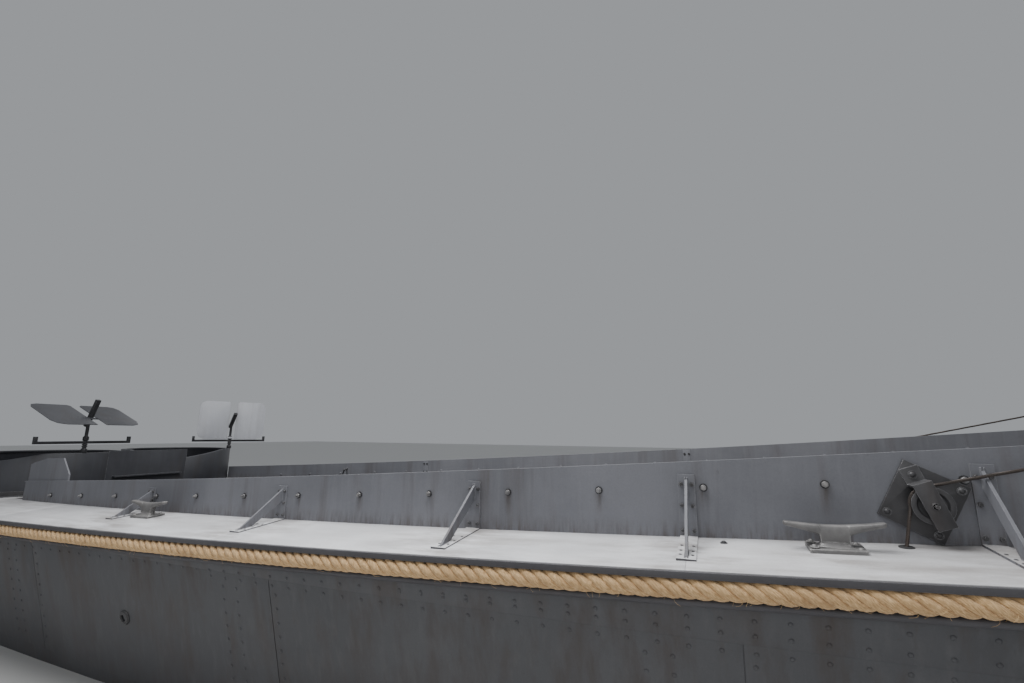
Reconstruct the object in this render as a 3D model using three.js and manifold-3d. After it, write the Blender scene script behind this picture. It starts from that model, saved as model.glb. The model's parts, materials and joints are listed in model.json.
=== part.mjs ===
// A 36 ft ramped landing craft: wide wooden hull, drop ramp at the bow, armoured coamings along the
// cargo well, engine box and helm aft of it, and two round tubs that carry pairs of shields.
// Units are millimetres. +X is forward, +Y is port, +Z is up. The origin is on the centreline at
// half length, at the height of the waterline.
import * as THREE from 'three';
import { mergeVertices } from 'three/addons/utils/BufferGeometryUtils.js';
import Module from 'manifold-3d';

const wasm = await Module();
wasm.setup();

// Driving dimensions
const LENGTH = 11050;
const TRANSOM_X = -LENGTH / 2;
const COAMING_AFT_X = TRANSOM_X + 1750;
const GAP = 0.3;

const PLANK = 28;
const DECK_CAMBER = 0.072;
const GUARD_RECESS = 76;
const FLARE = Math.tan(THREE.MathUtils.degToRad(14.5));
const WALL_INSET = 30;
const COAMING_THICK = 16;
const ROPE_R = 36;

const RAMP_FOOT_X = 4770;
const RAMP_FOOT_Z = 150;
const RAMP_LEAN = THREE.MathUtils.degToRad(20.5);
const RAMP_LENGTH = 2200;
const BOW_FACE_SETBACK = 42;

const TUB_CENTRE_X = COAMING_AFT_X - 750;
const TUB_CENTRE_Y = 620;
const TUB_R = 550;
const TUB_WALL = 22;
const TUB_RIM_Z = 1310;

const SHAFT_Z = -480;
const PROPELLER_X = COAMING_AFT_X - 560;
const RUDDER_X = COAMING_AFT_X - 1120;
const SKEG_AFT_X = COAMING_AFT_X - 330;
const HEEL_TOP_Z = -812;

const SHEAVE_X = COAMING_AFT_X + 6001;
const SHEAVE_Z = 1287;
const SHEAVE_R = 64;
const GROOVE_R = 54;
const CABLE_R = 6;

const ENGINE_BOX = { aft: COAMING_AFT_X + 950, fore: COAMING_AFT_X + 3050, half: 550, top: 1000, wall: 25 };

const SIDES = { starboard: -1, port: 1 };

const paint = (color, roughness = 0.6, metalness = 0.1) =>
  new THREE.MeshStandardMaterial({ color, roughness, metalness });
const GREY_HULL = 0x3c4045;
const GREY_PLATE = 0x565a61;
const GREY_DECK = 0x8d9096;
const GREY_LIGHT = 0x9a9ea4;
const DARK_STEEL = 0x2c2d30;
const ROPE_TAN = 0xb98d52;
const WOOD_GREY = 0x6a675f;
const BRONZE = 0x8a6a3c;
const ENGINE_GREEN = 0x5b6a52;
const ANTIFOUL = 0x4c4a47;

// Hull form. Each row: metres forward of the coaming's aft end, then heights in mm of the keel line,
// the edge of the propeller tunnel (or the kink of the V bottom), the chine and the inner floor,
// with the half breadth of that kink in its own column. The floor is level up to the bow's rise.
const BOTTOM = [
  { at: -1.75, keel: -70, kinkY: 420, kink: -180, chine: -15, floor: 30 },
  { at: -0.9, keel: -95, kinkY: 420, kink: -200, chine: -15, floor: 30 },
  { at: -0.1, keel: -150, kinkY: 400, kink: -215, chine: -12, floor: 30 },
  { at: 0.9, keel: -240, kinkY: 360, kink: -240, chine: -10, floor: 30 },
  { at: 2.1, keel: -320, kinkY: 320, kink: -262, chine: -8, floor: 30 },
  { at: 3.6, keel: -385, kinkY: 300, kink: -300, chine: 0, floor: 30 },
  { at: 5.2, keel: -430, kinkY: 300, kink: -335, chine: 20, floor: 30 },
  { at: 6.6, keel: -380, kinkY: 300, kink: -280, chine: 50, floor: 60 },
  { at: 7.4, keel: -250, kinkY: 300, kink: -170, chine: 72, floor: 85 },
  { at: 8, keel: -90, kinkY: 300, kink: -30, chine: 95, floor: 118 },
  { at: 8.375, keel: 50, kinkY: 300, kink: 62, chine: 115, floor: 150 },
];
const BOTTOM_END = BOTTOM[BOTTOM.length - 1].at;

const forward = x => (x - COAMING_AFT_X) / 1000;
const station = s => COAMING_AFT_X + s * 1000;

// A column of the hull table at a distance s along it, with rounded changes of slope.
function lines(column, s) {
  const last = BOTTOM.length - 1;
  const slope = i => {
    const a = BOTTOM[Math.max(i - 1, 0)];
    const b = BOTTOM[Math.min(i + 1, last)];
    return (b[column] - a[column]) / (b.at - a.at);
  };
  let i = 0;
  while (i < last - 1 && s > BOTTOM[i + 1].at) i++;
  const a = BOTTOM[i];
  const b = BOTTOM[i + 1];
  const span = b.at - a.at;
  const t = (s - a.at) / span;
  if (t > 1) return b[column] + slope(last) * (s - b.at);
  const h = t * t * (3 - 2 * t);
  const straight = column === 'floor' ? 0 : 1;
  const bend = straight * span * t * (1 - t) * (slope(i) * (1 - t) - slope(i + 1) * t);
  const level = a[column] + (b[column] - a[column]) * (straight ? h : t);
  return level + bend;
}

// Half breadth of the coaming's outer face: a shallow bow in plan, straight towards the ramp.
function coamingHalf(x) {
  const s = forward(x);
  const bowed = Math.min(s, 6.6) - 3.3;
  return 1190 + 5.2 * bowed - 6.8 * bowed * bowed - 39.7 * Math.max(s - 6.6, 0);
}
const wallHalf = x => coamingHalf(x) - WALL_INSET;
const deckHalf = x => coamingHalf(x) + 436 - 10.2 * (forward(x) - 3);
const deckHeight = x => 950 + 16.24 * forward(x) + 2.78 * forward(x) ** 2;
const deckAt = (x, y) => deckHeight(x) - DECK_CAMBER * (Math.abs(y) - coamingHalf(x));
const coamingTop = x => 1101.9 + 46.9 * forward(x) + 2.504 * forward(x) ** 2;
const sideHalf = x => deckHalf(x) - GUARD_RECESS;
const sideTop = x => deckAt(x, sideHalf(x)) - PLANK;
const chineHeight = x => lines('chine', forward(x));
const chineHalf = x => sideHalf(x) - FLARE * (sideTop(x) - chineHeight(x));
// The hull side's half breadth at a height between chine and deck.
const flareHalf = (x, z) => sideHalf(x) - FLARE * (sideTop(x) - z);
const bowFace = z => RAMP_FOOT_X - BOW_FACE_SETBACK + (z - RAMP_FOOT_Z) * Math.tan(RAMP_LEAN);

const STATION_STEPS = 15;
const hullStations = from =>
  Array.from({ length: STATION_STEPS + 1 }, (_, i) => from + (BOTTOM_END - from) * (i / STATION_STEPS));
const SIDE_FROM = -1.7;
const sideStations = hullStations(SIDE_FROM).map(station);

// Geometry helpers
const vec = (x, y, z) => new THREE.Vector3(x, y, z);

// Triangles between rings of points, each joined to the next, and on a hoop the last to the first.
function skin(rings, hoop = false) {
  const count = rings[0].length;
  const index = [];
  for (let r = 0; r < rings.length - (hoop ? 0 : 1); r++) {
    const here = r * count;
    const next = ((r + 1) % rings.length) * count;
    for (let i = 0; i < count; i++) {
      const j = (i + 1) % count;
      index.push(here + i, here + j, next + j, here + i, next + j, next + i);
    }
  }
  return index;
}

function closedMesh(rings, index) {
  const geometry = new THREE.BufferGeometry();
  const flat = rings.flat().flatMap(p => [p.x, p.y, p.z]);
  geometry.setAttribute('position', new THREE.Float32BufferAttribute(flat, 3));
  geometry.setIndex(index);
  return outward(geometry);
}

// A solid through sections of equal point count. Caps are cut across the Y-Z outline.
function loft(sections) {
  // Cap triangles, each turned to run the same way round as the section.
  const caps = section => {
    const outline = section.map(p => new THREE.Vector2(p.y, p.z));
    const turn = Math.sign(THREE.ShapeUtils.area(outline));
    return THREE.ShapeUtils.triangulateShape(outline, []).map(tri =>
      Math.sign(THREE.ShapeUtils.area(tri.map(i => outline[i]))) === turn ? tri : [...tri].reverse());
  };
  const index = skin(sections);
  const lastFirst = (sections.length - 1) * sections[0].length;
  for (const tri of caps(sections[0])) index.push(...[...tri].reverse());
  for (const tri of caps(sections[sections.length - 1])) index.push(...tri.map(v => v + lastFirst));
  return closedMesh(sections, index);
}

// A tube through rings of points, its two ends closed by fans.
function tube(rings) {
  const count = rings[0].length;
  const index = skin(rings);
  const last = (rings.length - 1) * count;
  for (let i = 1; i < count - 1; i++) index.push(0, i + 1, i, last, last + i, last + i + 1);
  return closedMesh(rings, index);
}

const hoop = rings => closedMesh(rings, skin(rings, true));

// Turns every triangle round if the closed mesh is inside out.
function outward(geometry) {
  const p = geometry.getAttribute('position');
  const index = Array.from(geometry.index.array);
  let volume = 0;
  for (let i = 0; i < index.length; i += 3) {
    const [a, b, c] = [0, 1, 2].map(k => vec().fromBufferAttribute(p, index[i + k]));
    volume += a.dot(b.cross(c));
  }
  if (volume < 0) {
    for (let i = 0; i < index.length; i += 3) [index[i + 1], index[i + 2]] = [index[i + 2], index[i + 1]];
    geometry.setIndex(index);
  }
  return geometry;
}

const mirrored = (points, side) => points.map(p => vec(p.x, p.y * side, p.z));

function box(x0, x1, y0, y1, z0, z1) {
  const geometry = new THREE.BoxGeometry(x1 - x0, y1 - y0, z1 - z0);
  return geometry.translate((x0 + x1) / 2, (y0 + y1) / 2, (z0 + z1) / 2);
}

// An outline in the X-Z plane given thickness from y0 to y1.
function plateXZ(points, y0, y1) {
  const shape = new THREE.Shape(points.map(([x, z]) => new THREE.Vector2(x, z)));
  const geometry = new THREE.ExtrudeGeometry(shape, { depth: y1 - y0, bevelEnabled: false });
  return geometry.rotateX(Math.PI / 2).translate(0, y1, 0);
}

// An outline in the Y-Z plane of one side, given length from x0 to x1.
const plateYZ = (points, x0, x1, side) =>
  loft([x0, x1].map(x => mirrored(points.map(([y, z]) => vec(x, y, z)), side)));

function cylinder(radius, from, to, segments = 24) {
  const axis = to.clone().sub(from);
  const geometry = new THREE.CylinderGeometry(radius, radius, axis.length(), segments);
  geometry.applyQuaternion(new THREE.Quaternion().setFromUnitVectors(vec(0, 1, 0), axis.clone().normalize()));
  return geometry.translate((from.x + to.x) / 2, (from.y + to.y) / 2, (from.z + to.z) / 2);
}

// A turned piece: profile of [radius, height] pairs about the axis from a point along a direction.
function turned(profile, at, direction, segments = 32) {
  const points = profile.map(([r, h]) => new THREE.Vector2(r, h));
  const geometry = new THREE.LatheGeometry(points, segments);
  geometry.applyQuaternion(new THREE.Quaternion().setFromUnitVectors(vec(0, 1, 0), direction));
  return geometry.translate(at.x, at.y, at.z);
}

function solid(geometry) {
  const bare = geometry.clone();
  bare.deleteAttribute('normal');
  bare.deleteAttribute('uv');
  const merged = mergeVertices(bare, 1e-3);
  return new wasm.Manifold(new wasm.Mesh({
    numProp: 3,
    vertProperties: new Float32Array(merged.getAttribute('position').array),
    triVerts: new Uint32Array(merged.index.array),
  }));
}

function fromSolid(body) {
  const mesh = body.getMesh();
  const geometry = new THREE.BufferGeometry();
  const positions = [];
  for (let i = 0; i < mesh.vertProperties.length; i += mesh.numProp)
    positions.push(...mesh.vertProperties.slice(i, i + 3));
  geometry.setAttribute('position', new THREE.Float32BufferAttribute(positions, 3));
  geometry.setIndex(Array.from(mesh.triVerts));
  return geometry;
}

const join = (...geometries) =>
  fromSolid(geometries.map(solid).reduce((all, next) => all.add(next)));
const cut = (geometry, ...tools) =>
  fromSolid(tools.map(solid).reduce((all, next) => all.subtract(next), solid(geometry)));

const craft = new THREE.Group();
function piece(name, geometry, material, parent = craft) {
  const mesh = new THREE.Mesh(geometry, material);
  mesh.name = name;
  parent.add(mesh);
  return mesh;
}

// Hull: a solid bottom up to the floor, two boxed sides, transom and decks

function bottomSection(x) {
  const s = forward(x);
  const half = [
    vec(x, lines('kinkY', s), lines('kink', s)),
    vec(x, chineHalf(x), chineHeight(x)),
    vec(x, wallHalf(x), chineHeight(x)),
    vec(x, wallHalf(x), lines('floor', s)),
  ];
  return [vec(x, 0, lines('keel', s)), ...half, ...mirrored(half, -1).reverse()];
}
const bottom = loft([TRANSOM_X, ...sideStations].map(bottomSection));
piece('hull_bottom', bottom, paint(ANTIFOUL));

function sideSection(x) {
  const chine = chineHeight(x) + GAP;
  const top = y => deckAt(x, y) - PLANK - GAP;
  return [
    vec(x, chineHalf(x), chine),
    vec(x, sideHalf(x), top(sideHalf(x))),
    vec(x, wallHalf(x), top(wallHalf(x))),
    vec(x, wallHalf(x), chine),
  ];
}

// Where a height function of x meets the sloping bow face.
function meetBow(height) {
  let x = bowFace(1300);
  for (let i = 0; i < 6; i++) x = bowFace(height(x));
  return x;
}
const DECK_BOW_X = meetBow(x => deckHeight(x));

// The side's last section lies in the plane of the ramp.
function sideBowSection() {
  const foot = bowFace(chineHeight(station(BOTTOM_END)));
  const low = sideSection(foot);
  const high = sideSection(DECK_BOW_X);
  return [low[0], high[1], high[2], low[3]];
}

for (const [name, side] of Object.entries(SIDES)) {
  const sections = [...sideStations.map(sideSection), sideBowSection()];
  piece(`side_${name}`, loft(sections.map(s => mirrored(s, side))), paint(GREY_HULL));
}

function transomSection(x) {
  const half = [
    vec(x, chineHalf(x), chineHeight(x) + GAP),
    vec(x, sideHalf(x), deckAt(x, sideHalf(x)) - PLANK - GAP),
    vec(x, wallHalf(x), deckAt(x, wallHalf(x)) - PLANK - GAP),
  ];
  return [...half, ...mirrored(half, -1).reverse()];
}
const transomInside = station(SIDE_FROM) - GAP;
const transomHalf = wallHalf(TRANSOM_X) + 30;
piece('transom', cut(
  loft([TRANSOM_X, transomInside].map(transomSection)),
  box(TRANSOM_X - 10, transomInside + 10, -transomHalf, transomHalf, -100, lines('floor', -1.75) + GAP),
), paint(GREY_HULL));

// The headlog closes the bow under the ramp. Its outline is a side view in X and Z.
const HEADLOG_AFT_X = station(BOTTOM_END) + GAP;
const HEADLOG_FORE_X = RAMP_FOOT_X - 45;
const HEADLOG_TOP = RAMP_FOOT_Z + 14;
const HEADLOG_FOOT = { aft: 60, rise: 72, fore: 95, nose: 30 };
const headlogHalf = wallHalf(RAMP_FOOT_X) - 3;
piece('headlog', plateXZ([
  [HEADLOG_AFT_X, HEADLOG_FOOT.aft], [HEADLOG_FORE_X - HEADLOG_FOOT.nose, HEADLOG_FOOT.rise],
  [HEADLOG_FORE_X, HEADLOG_FOOT.fore], [HEADLOG_FORE_X, HEADLOG_TOP], [HEADLOG_AFT_X, HEADLOG_TOP],
], -headlogHalf, headlogHalf), paint(GREY_HULL));

// Side decks slope down outboard; the deck edge overhangs the rope fender.
const DECK_JOIN_S = -0.2;
const deckStations = hullStations(DECK_JOIN_S).map(station);
const decks = {};
function deckSection(x) {
  const top = y => deckAt(x, y);
  return [
    vec(x, wallHalf(x), top(wallHalf(x)) - PLANK),
    vec(x, deckHalf(x), top(deckHalf(x)) - PLANK),
    vec(x, deckHalf(x), top(deckHalf(x))),
    vec(x, wallHalf(x), top(wallHalf(x))),
  ];
}
for (const [name, side] of Object.entries(SIDES)) {
  const sections = [...deckStations, DECK_BOW_X].map(deckSection);
  decks[name] = loft(sections.map(s => mirrored(s, side)));
  piece(`deck_${name}`, decks[name], paint(GREY_DECK));
}

function aftDeckSection(x) {
  const half = [
    vec(x, wallHalf(x), deckAt(x, wallHalf(x))),
    vec(x, deckHalf(x), deckAt(x, deckHalf(x))),
    vec(x, deckHalf(x), deckAt(x, deckHalf(x)) - PLANK),
    vec(x, wallHalf(x), deckAt(x, wallHalf(x)) - PLANK),
  ];
  return [...half, ...mirrored(half, -1).reverse()];
}
const aftDeckStations = [-1.75, -1.35, -0.95, -0.55, DECK_JOIN_S - GAP / 1000].map(station);
const TUB_HOLE_R = TUB_R - 70;
const tubHole = side => cylinder(TUB_HOLE_R,
  vec(TUB_CENTRE_X, side * TUB_CENTRE_Y, 700), vec(TUB_CENTRE_X, side * TUB_CENTRE_Y, 1100), 40);
piece('deck_aft', cut(loft(aftDeckStations.map(aftDeckSection)), tubHole(1), tubHole(-1)), paint(GREY_DECK));

// All that lies at and under the aft deck's top, to trim the feet of what stands on it
const underAftDeck = loft([station(-2.2), ...aftDeckStations, station(0.25)].map(x => {
  const top = aftDeckSection(x).slice(0, 2).map(p => vec(x, p.y, p.z + GAP));
  const half = [...top, vec(x, deckHalf(x), 500)];
  return [...half, ...mirrored(half, -1).reverse()];
}));

// Bulkhead under the front edge of the aft deck
const BULKHEAD = { aft: station(-0.26), fore: station(-0.22) };
const bulkheadHalf = wallHalf(BULKHEAD.aft) - 8;
const bulkheadTop = deckAt(BULKHEAD.fore, bulkheadHalf) - PLANK - 4;
piece('bulkhead_aft', box(BULKHEAD.aft, BULKHEAD.fore, -bulkheadHalf, bulkheadHalf,
  lines('floor', -0.1) + GAP, bulkheadTop), paint(GREY_PLATE));

// Floor boards of the cargo well, rising to the ramp sill.
const BOARD = 25;
function boardSection(x) {
  const z = lines('floor', forward(x));
  const y = wallHalf(x) - 3;
  return [vec(x, -y, z + GAP), vec(x, y, z + GAP), vec(x, y, z + BOARD), vec(x, -y, z + BOARD)];
}
const boardStations = sideStations.filter(x => x > ENGINE_BOX.fore);
piece('floor_boards', loft(boardStations.map(boardSection)), paint(WOOD_GREY, 0.85, 0));

// Keel, deadwood and the heel that carries the rudder. The keel's foot is a list of metres forward
// and height; its top is trimmed by the bottom.
const KEEL_HALF = 45;
const HEEL_AFT = -1.38;
const SHAFT_R = 25;
const SHAFT_TUBE = { radius: 70, aft: 60, fore: 260, bore: SHAFT_R + 0.6 };
const keelTop = [[SKEG_AFT_X, -60], [station(6.6), -60], [station(8.3), 80]];
const keelFoot = [[8.3, 20], [7.7, -210], [7.4, -330], [6.8, -470], [6.0, -560], [4.6, -640], [-1.3, -900],
  [HEEL_AFT, -890]].map(([s, z]) => [station(s), z]);
const heel = [[station(HEEL_AFT), HEEL_TOP_Z], [SKEG_AFT_X, HEEL_TOP_Z]];
const onShaft = x => vec(x, 0, SHAFT_Z);
piece('keel_skeg', cut(
  join(plateXZ([...keelTop, ...keelFoot, ...heel], -KEEL_HALF, KEEL_HALF),
    cylinder(SHAFT_TUBE.radius, onShaft(SKEG_AFT_X - SHAFT_TUBE.aft), onShaft(SKEG_AFT_X + SHAFT_TUBE.fore))),
  bottom.clone().translate(0, 0, -GAP),
  cylinder(SHAFT_TUBE.bore, onShaft(SKEG_AFT_X - SHAFT_TUBE.aft - 10), onShaft(SKEG_AFT_X - 5), 28),
), paint(ANTIFOUL));

// Coamings with their stays

// A stay: plate on the coaming, plate on the deck and a flat bar on edge between them. Columns:
// metres forward, how far its head is below the coaming's top, and the reach of its foot.
const STAYS = [
  { at: 1.736, drop: 52, reach: 243 },
  { at: 2.945, drop: 52, reach: 298 },
  { at: 4.199, drop: 52, reach: 338 },
  { at: 5.185, drop: 52, reach: 314 },
  { at: 6.172, drop: 55, reach: 258 },
  { at: 7.11, drop: 52, reach: 290 },
  { at: 8.07, drop: 52, reach: 290 },
];
const STAY = { wide: 68, thick: 8, base: 7, bar: 46, barThick: 10, barDrop: 14, barSteep: 1.5, toe: 14 };
function stay({ at, drop, reach }, side, deck) {
  const x = station(at);
  const root = coamingHalf(x);
  const x0 = x - STAY.wide / 2;
  const x1 = x + STAY.wide / 2;
  const high = coamingTop(x) - drop;
  const foot = root + reach;
  const low = deckAt(x, foot);
  const slab = (points, a, b) => plateYZ(points, a, b, side);
  const wallPlate = slab([[root - 4, low], [root + STAY.thick, low], [root + STAY.thick, high],
    [root - 4, high]], x0, x1);
  const deckPlate = slab([[root - 4, deckAt(x, root) - 8], [foot, low - 8], [foot, low + STAY.base],
    [root - 4, deckAt(x, root) + STAY.base]], x0, x1);
  const barHead = high - STAY.barDrop;
  const toe = foot - STAY.toe;
  const bar = slab([[root + 2, barHead], [root + 2, barHead - STAY.bar * STAY.barSteep],
    [toe - STAY.bar * STAY.barSteep, low + 4], [toe, low + 4]],
  x - STAY.barThick / 2, x + STAY.barThick / 2);
  return cut(join(wallPlate, deckPlate, bar), deck.clone().translate(0, 0, GAP), deck);
}

// A standing plate's section, outward from its inner face, on the deck.
function standing(x, inner, outer, top) {
  const foot = y => deckAt(x, y) + GAP;
  return [vec(x, inner, foot(inner)), vec(x, outer, foot(outer)), vec(x, outer, top), vec(x, inner, top)];
}
const coamingSection = x => standing(x, coamingHalf(x) - COAMING_THICK, coamingHalf(x), coamingTop(x));
function coamingBowSection() {
  const low = coamingSection(DECK_BOW_X);
  const high = coamingSection(meetBow(coamingTop));
  return [low[0], low[1], high[2], high[3]];
}

// The port coaming runs on aft to its tub; the starboard one ends in a higher wing plate inside it.
const COAMING_STARTS = { starboard: [], port: [-0.41, DECK_JOIN_S] };
const WING_THICK = 8;
const WING = [
  { at: 0, top: 1235 },
  { at: 0.05, top: 1250 },
  { at: 0.25, top: 1290 },
  { at: 0.5, top: 1300 },
  { at: 0.62, top: 1180 },
];
const wingSection = ({ at, top }) => {
  const x = station(at);
  const face = coamingHalf(x) - COAMING_THICK;
  return standing(x, face - WING_THICK, face + 2, top);
};
const WINGS = { starboard: [loft(WING.map(wingSection).map(s => mirrored(s, -1)))], port: [] };

const coamings = {};
for (const [name, side] of Object.entries(SIDES)) {
  const stations = [...COAMING_STARTS[name].map(station), ...hullStations(0).map(station)];
  const plate = loft([...stations.map(coamingSection), coamingBowSection()].map(s => mirrored(s, side)));
  coamings[name] = join(plate, ...WINGS[name], ...STAYS.map(row => stay(row, side, decks[name])));
  piece(`coaming_${name}`, coamings[name], paint(GREY_PLATE));
}

// Rope fender under the deck edge, and the half-round guard below it
const ROPE_SEGMENTS = 8;
const ROPE_END = station(8.55);
const ropeStations = [station(-1.72), ...aftDeckStations.slice(1), ...deckStations.slice(1), ROPE_END];
const ropeY = x => deckHalf(x) - ROPE_R + 9;
const ropeZ = x => deckAt(x, ropeY(x) + 15) - PLANK - ROPE_R * Math.cos(Math.PI / ROPE_SEGMENTS) - GAP;
for (const [name, side] of Object.entries(SIDES)) {
  const rope = x => Array.from({ length: ROPE_SEGMENTS }, (_, i) => {
    const a = (i + 0.5) / ROPE_SEGMENTS * 2 * Math.PI;
    return vec(x, side * (ropeY(x) + ROPE_R * Math.cos(a)), ropeZ(x) + ROPE_R * Math.sin(a));
  });
  piece(`fender_rope_${name}`, loft(ropeStations.map(rope)), paint(ROPE_TAN, 0.95, 0));
}

const GUARD = { tall: 34, out: 52, edge: 42, under: 2, seat: 0.8 };
for (const [name, side] of Object.entries(SIDES)) {
  const section = x => {
    const top = ropeZ(x) - ROPE_R - GUARD.under;
    const wall = z => flareHalf(x, z) + GUARD.seat;
    const mid = top - GUARD.tall / 2;
    const low = top - GUARD.tall;
    return mirrored([
      vec(x, wall(top), top), vec(x, wall(mid) + GUARD.edge, top), vec(x, wall(mid) + GUARD.out, mid),
      vec(x, wall(mid) + GUARD.edge, low), vec(x, wall(low), low),
    ], side);
  };
  piece(`guard_${name}`, loft([...sideStations, station(8.58)].map(section)), paint(GREY_HULL));
}

// Cleats: a base on the deck and a pair of horns on a waisted stem. Places are metres forward and
// the distance outboard of the coaming; the horn's outline is a side view over its base.
const CLEAT_PLACES = { aft: { at: 1.925, offset: 125 }, forward: { at: 5.682, offset: 108 } };
const CLEAT = { baseLong: 175, baseWide: 105, baseThick: 14, hornHalf: 17 };
const HORN = [[-160, 99], [-152, 86], [-72, 66], [-44, 46], [-52, 10], [52, 10], [44, 46], [72, 66],
  [152, 86], [160, 99], [75, 88], [-75, 88]];
function cleat({ at, offset }, side, deck) {
  const x = station(at);
  const y = side * (coamingHalf(x) + offset);
  const z = deckAt(x, y);
  const base = box(x - CLEAT.baseLong / 2, x + CLEAT.baseLong / 2, y - CLEAT.baseWide / 2,
    y + CLEAT.baseWide / 2, z - 14, z + CLEAT.baseThick);
  return join(cut(base, deck.clone().translate(0, 0, GAP)),
    plateXZ(HORN.map(([dx, dz]) => [x + dx, z + dz]), y - CLEAT.hornHalf, y + CLEAT.hornHalf));
}
for (const [name, side] of Object.entries(SIDES))
  for (const [place, row] of Object.entries(CLEAT_PLACES))
    piece(`cleat_${place}_${name}`, cleat(row, side, decks[name]), paint(GREY_LIGHT, 0.5, 0.3));

// Ramp cable sheaves on the coamings. A cranked strap holds the wheel's pin from outside: its tab is
// on the square plate, and it steps out over the wheel.
const SHEAVE_PLATE = { long: 208, tall: 222, thick: 8, turn: THREE.MathUtils.degToRad(-27) };
const SHEAVE_PLATE_X = COAMING_AFT_X + 5989;
const SHEAVE_PLATE_Z = 1296;
const SHEAVE_THICK = 32;
const SHEAVE_STAND = 24;
const SHEAVE_SEAT = 4;
const STRAP = {
  half: 30, thick: 8, clear: 6, step: 74, tab: 136, low: 80, lean: THREE.MathUtils.degToRad(20),
};
const PIN = { radius: 11, proud: 10 };
const sheaveFace = coamingHalf(SHEAVE_X) + SHEAVE_SEAT;

function sheaveBracket(side, coaming) {
  const span = (a, b) => [side * (sheaveFace + a), side * (sheaveFace + b)].sort((p, q) => p - q);
  const { long, tall, thick, turn } = SHEAVE_PLATE;
  const plate = cut(
    box(-long / 2, long / 2, ...span(-8, thick), -tall / 2, tall / 2)
      .rotateY(-turn).translate(SHEAVE_PLATE_X, 0, SHEAVE_PLATE_Z),
    coaming.clone().translate(0, side * GAP, 0), coaming);
  const back = thick - 1;
  const tab = thick + STRAP.thick;
  const out = SHEAVE_STAND + SHEAVE_THICK + STRAP.clear;
  const outer = out + STRAP.thick;
  const stepTop = STRAP.step + STRAP.thick;
  const strap = plateYZ([[back, STRAP.step], [back, STRAP.tab], [tab, STRAP.tab], [tab, stepTop],
    [outer, stepTop], [outer, -STRAP.low], [out, -STRAP.low], [out, STRAP.step]]
    .map(([d, z]) => [sheaveFace + d, z]), -STRAP.half, STRAP.half, side)
    .rotateY(-STRAP.lean).translate(SHEAVE_X, 0, SHEAVE_Z);
  const onPin = d => vec(SHEAVE_X, side * (sheaveFace + d), SHEAVE_Z);
  return join(plate, strap, cylinder(PIN.radius, onPin(2), onPin(outer + PIN.proud), 16));
}

// The wheel's profile: radius and distance outward, with a groove round it and a dished outer face.
const WHEEL_BORE = PIN.radius + 0.4;
const WHEEL = [[WHEEL_BORE, 0], [SHEAVE_R, 0], [SHEAVE_R, 3], [GROOVE_R, 10], [GROOVE_R, 22], [SHEAVE_R, 29],
  [SHEAVE_R, SHEAVE_THICK], [48, SHEAVE_THICK], [42, 24], [27, 24], [24, SHEAVE_THICK],
  [WHEEL_BORE, SHEAVE_THICK], [WHEEL_BORE, 0]];
const sheaveWheel = side =>
  turned(WHEEL, vec(SHEAVE_X, side * (sheaveFace + SHEAVE_STAND), SHEAVE_Z), vec(0, side, 0));

// The ramp cable: up from the deck, round the back of the sheave, and away to the ramp's top corner.
const RAMP_EYE = { along: 2080, half: 990, out: -52, short: 30 };
const rampPoint = (along, out) => vec(
  RAMP_FOOT_X + along * Math.sin(RAMP_LEAN) + out * Math.cos(RAMP_LEAN), 0,
  RAMP_FOOT_Z + along * Math.cos(RAMP_LEAN) - out * Math.sin(RAMP_LEAN));
const CABLE_RUN_R = GROOVE_R + CABLE_R + 3.5;
const CABLE_FOOT = { x: COAMING_AFT_X + 5911, out: 46, up: 2 };
const CABLE_STEPS = 4;
const CABLE_SIDES = 6;
function cableRoute(side) {
  const y = side * (sheaveFace + SHEAVE_STAND + SHEAVE_THICK / 2);
  const footY = side * (coamingHalf(SHEAVE_X) + CABLE_FOOT.out);
  const eye = rampPoint(RAMP_EYE.along, RAMP_EYE.out);
  const rise = Math.atan2(eye.z - SHEAVE_Z - CABLE_RUN_R, eye.x - SHEAVE_X);
  const around = a => vec(SHEAVE_X + CABLE_RUN_R * Math.cos(a), y, SHEAVE_Z + CABLE_RUN_R * Math.sin(a));
  const foot = vec(CABLE_FOOT.x, footY, deckAt(CABLE_FOOT.x, footY) + CABLE_FOOT.up);
  const leave = Math.PI + Math.atan2(SHEAVE_X - CABLE_RUN_R - foot.x, SHEAVE_Z - foot.z);
  const top = Math.PI / 2 + rise;
  const turn = Array.from({ length: CABLE_STEPS + 1 },
    (_, i) => around(leave + (top - leave) * (i / CABLE_STEPS)));
  return [foot, ...turn, vec(eye.x - RAMP_EYE.short, side * RAMP_EYE.half, eye.z)];
}
function cable(side) {
  const route = cableRoute(side);
  return tube(route.map((p, i) => {
    const before = route[Math.max(i - 1, 0)];
    const after = route[Math.min(i + 1, route.length - 1)];
    const direction = after.clone().sub(before).normalize();
    const up = direction.clone().cross(vec(0, 1, 0)).normalize();
    const flat = up.clone().cross(direction).normalize();
    return Array.from({ length: CABLE_SIDES }, (_, k) => {
      const a = k / CABLE_SIDES * 2 * Math.PI;
      return p.clone().addScaledVector(flat, CABLE_R * Math.cos(a))
        .addScaledVector(up, CABLE_R * Math.sin(a));
    });
  }));
}

for (const [name, side] of Object.entries(SIDES)) {
  piece(`sheave_bracket_${name}`, sheaveBracket(side, coamings[name]), paint(GREY_PLATE, 0.5, 0.4));
  piece(`sheave_${name}`, sheaveWheel(side), paint(GREY_PLATE, 0.5, 0.4));
  piece(`ramp_cable_${name}`, cable(side), paint(DARK_STEEL, 0.5, 0.7));
}

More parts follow.
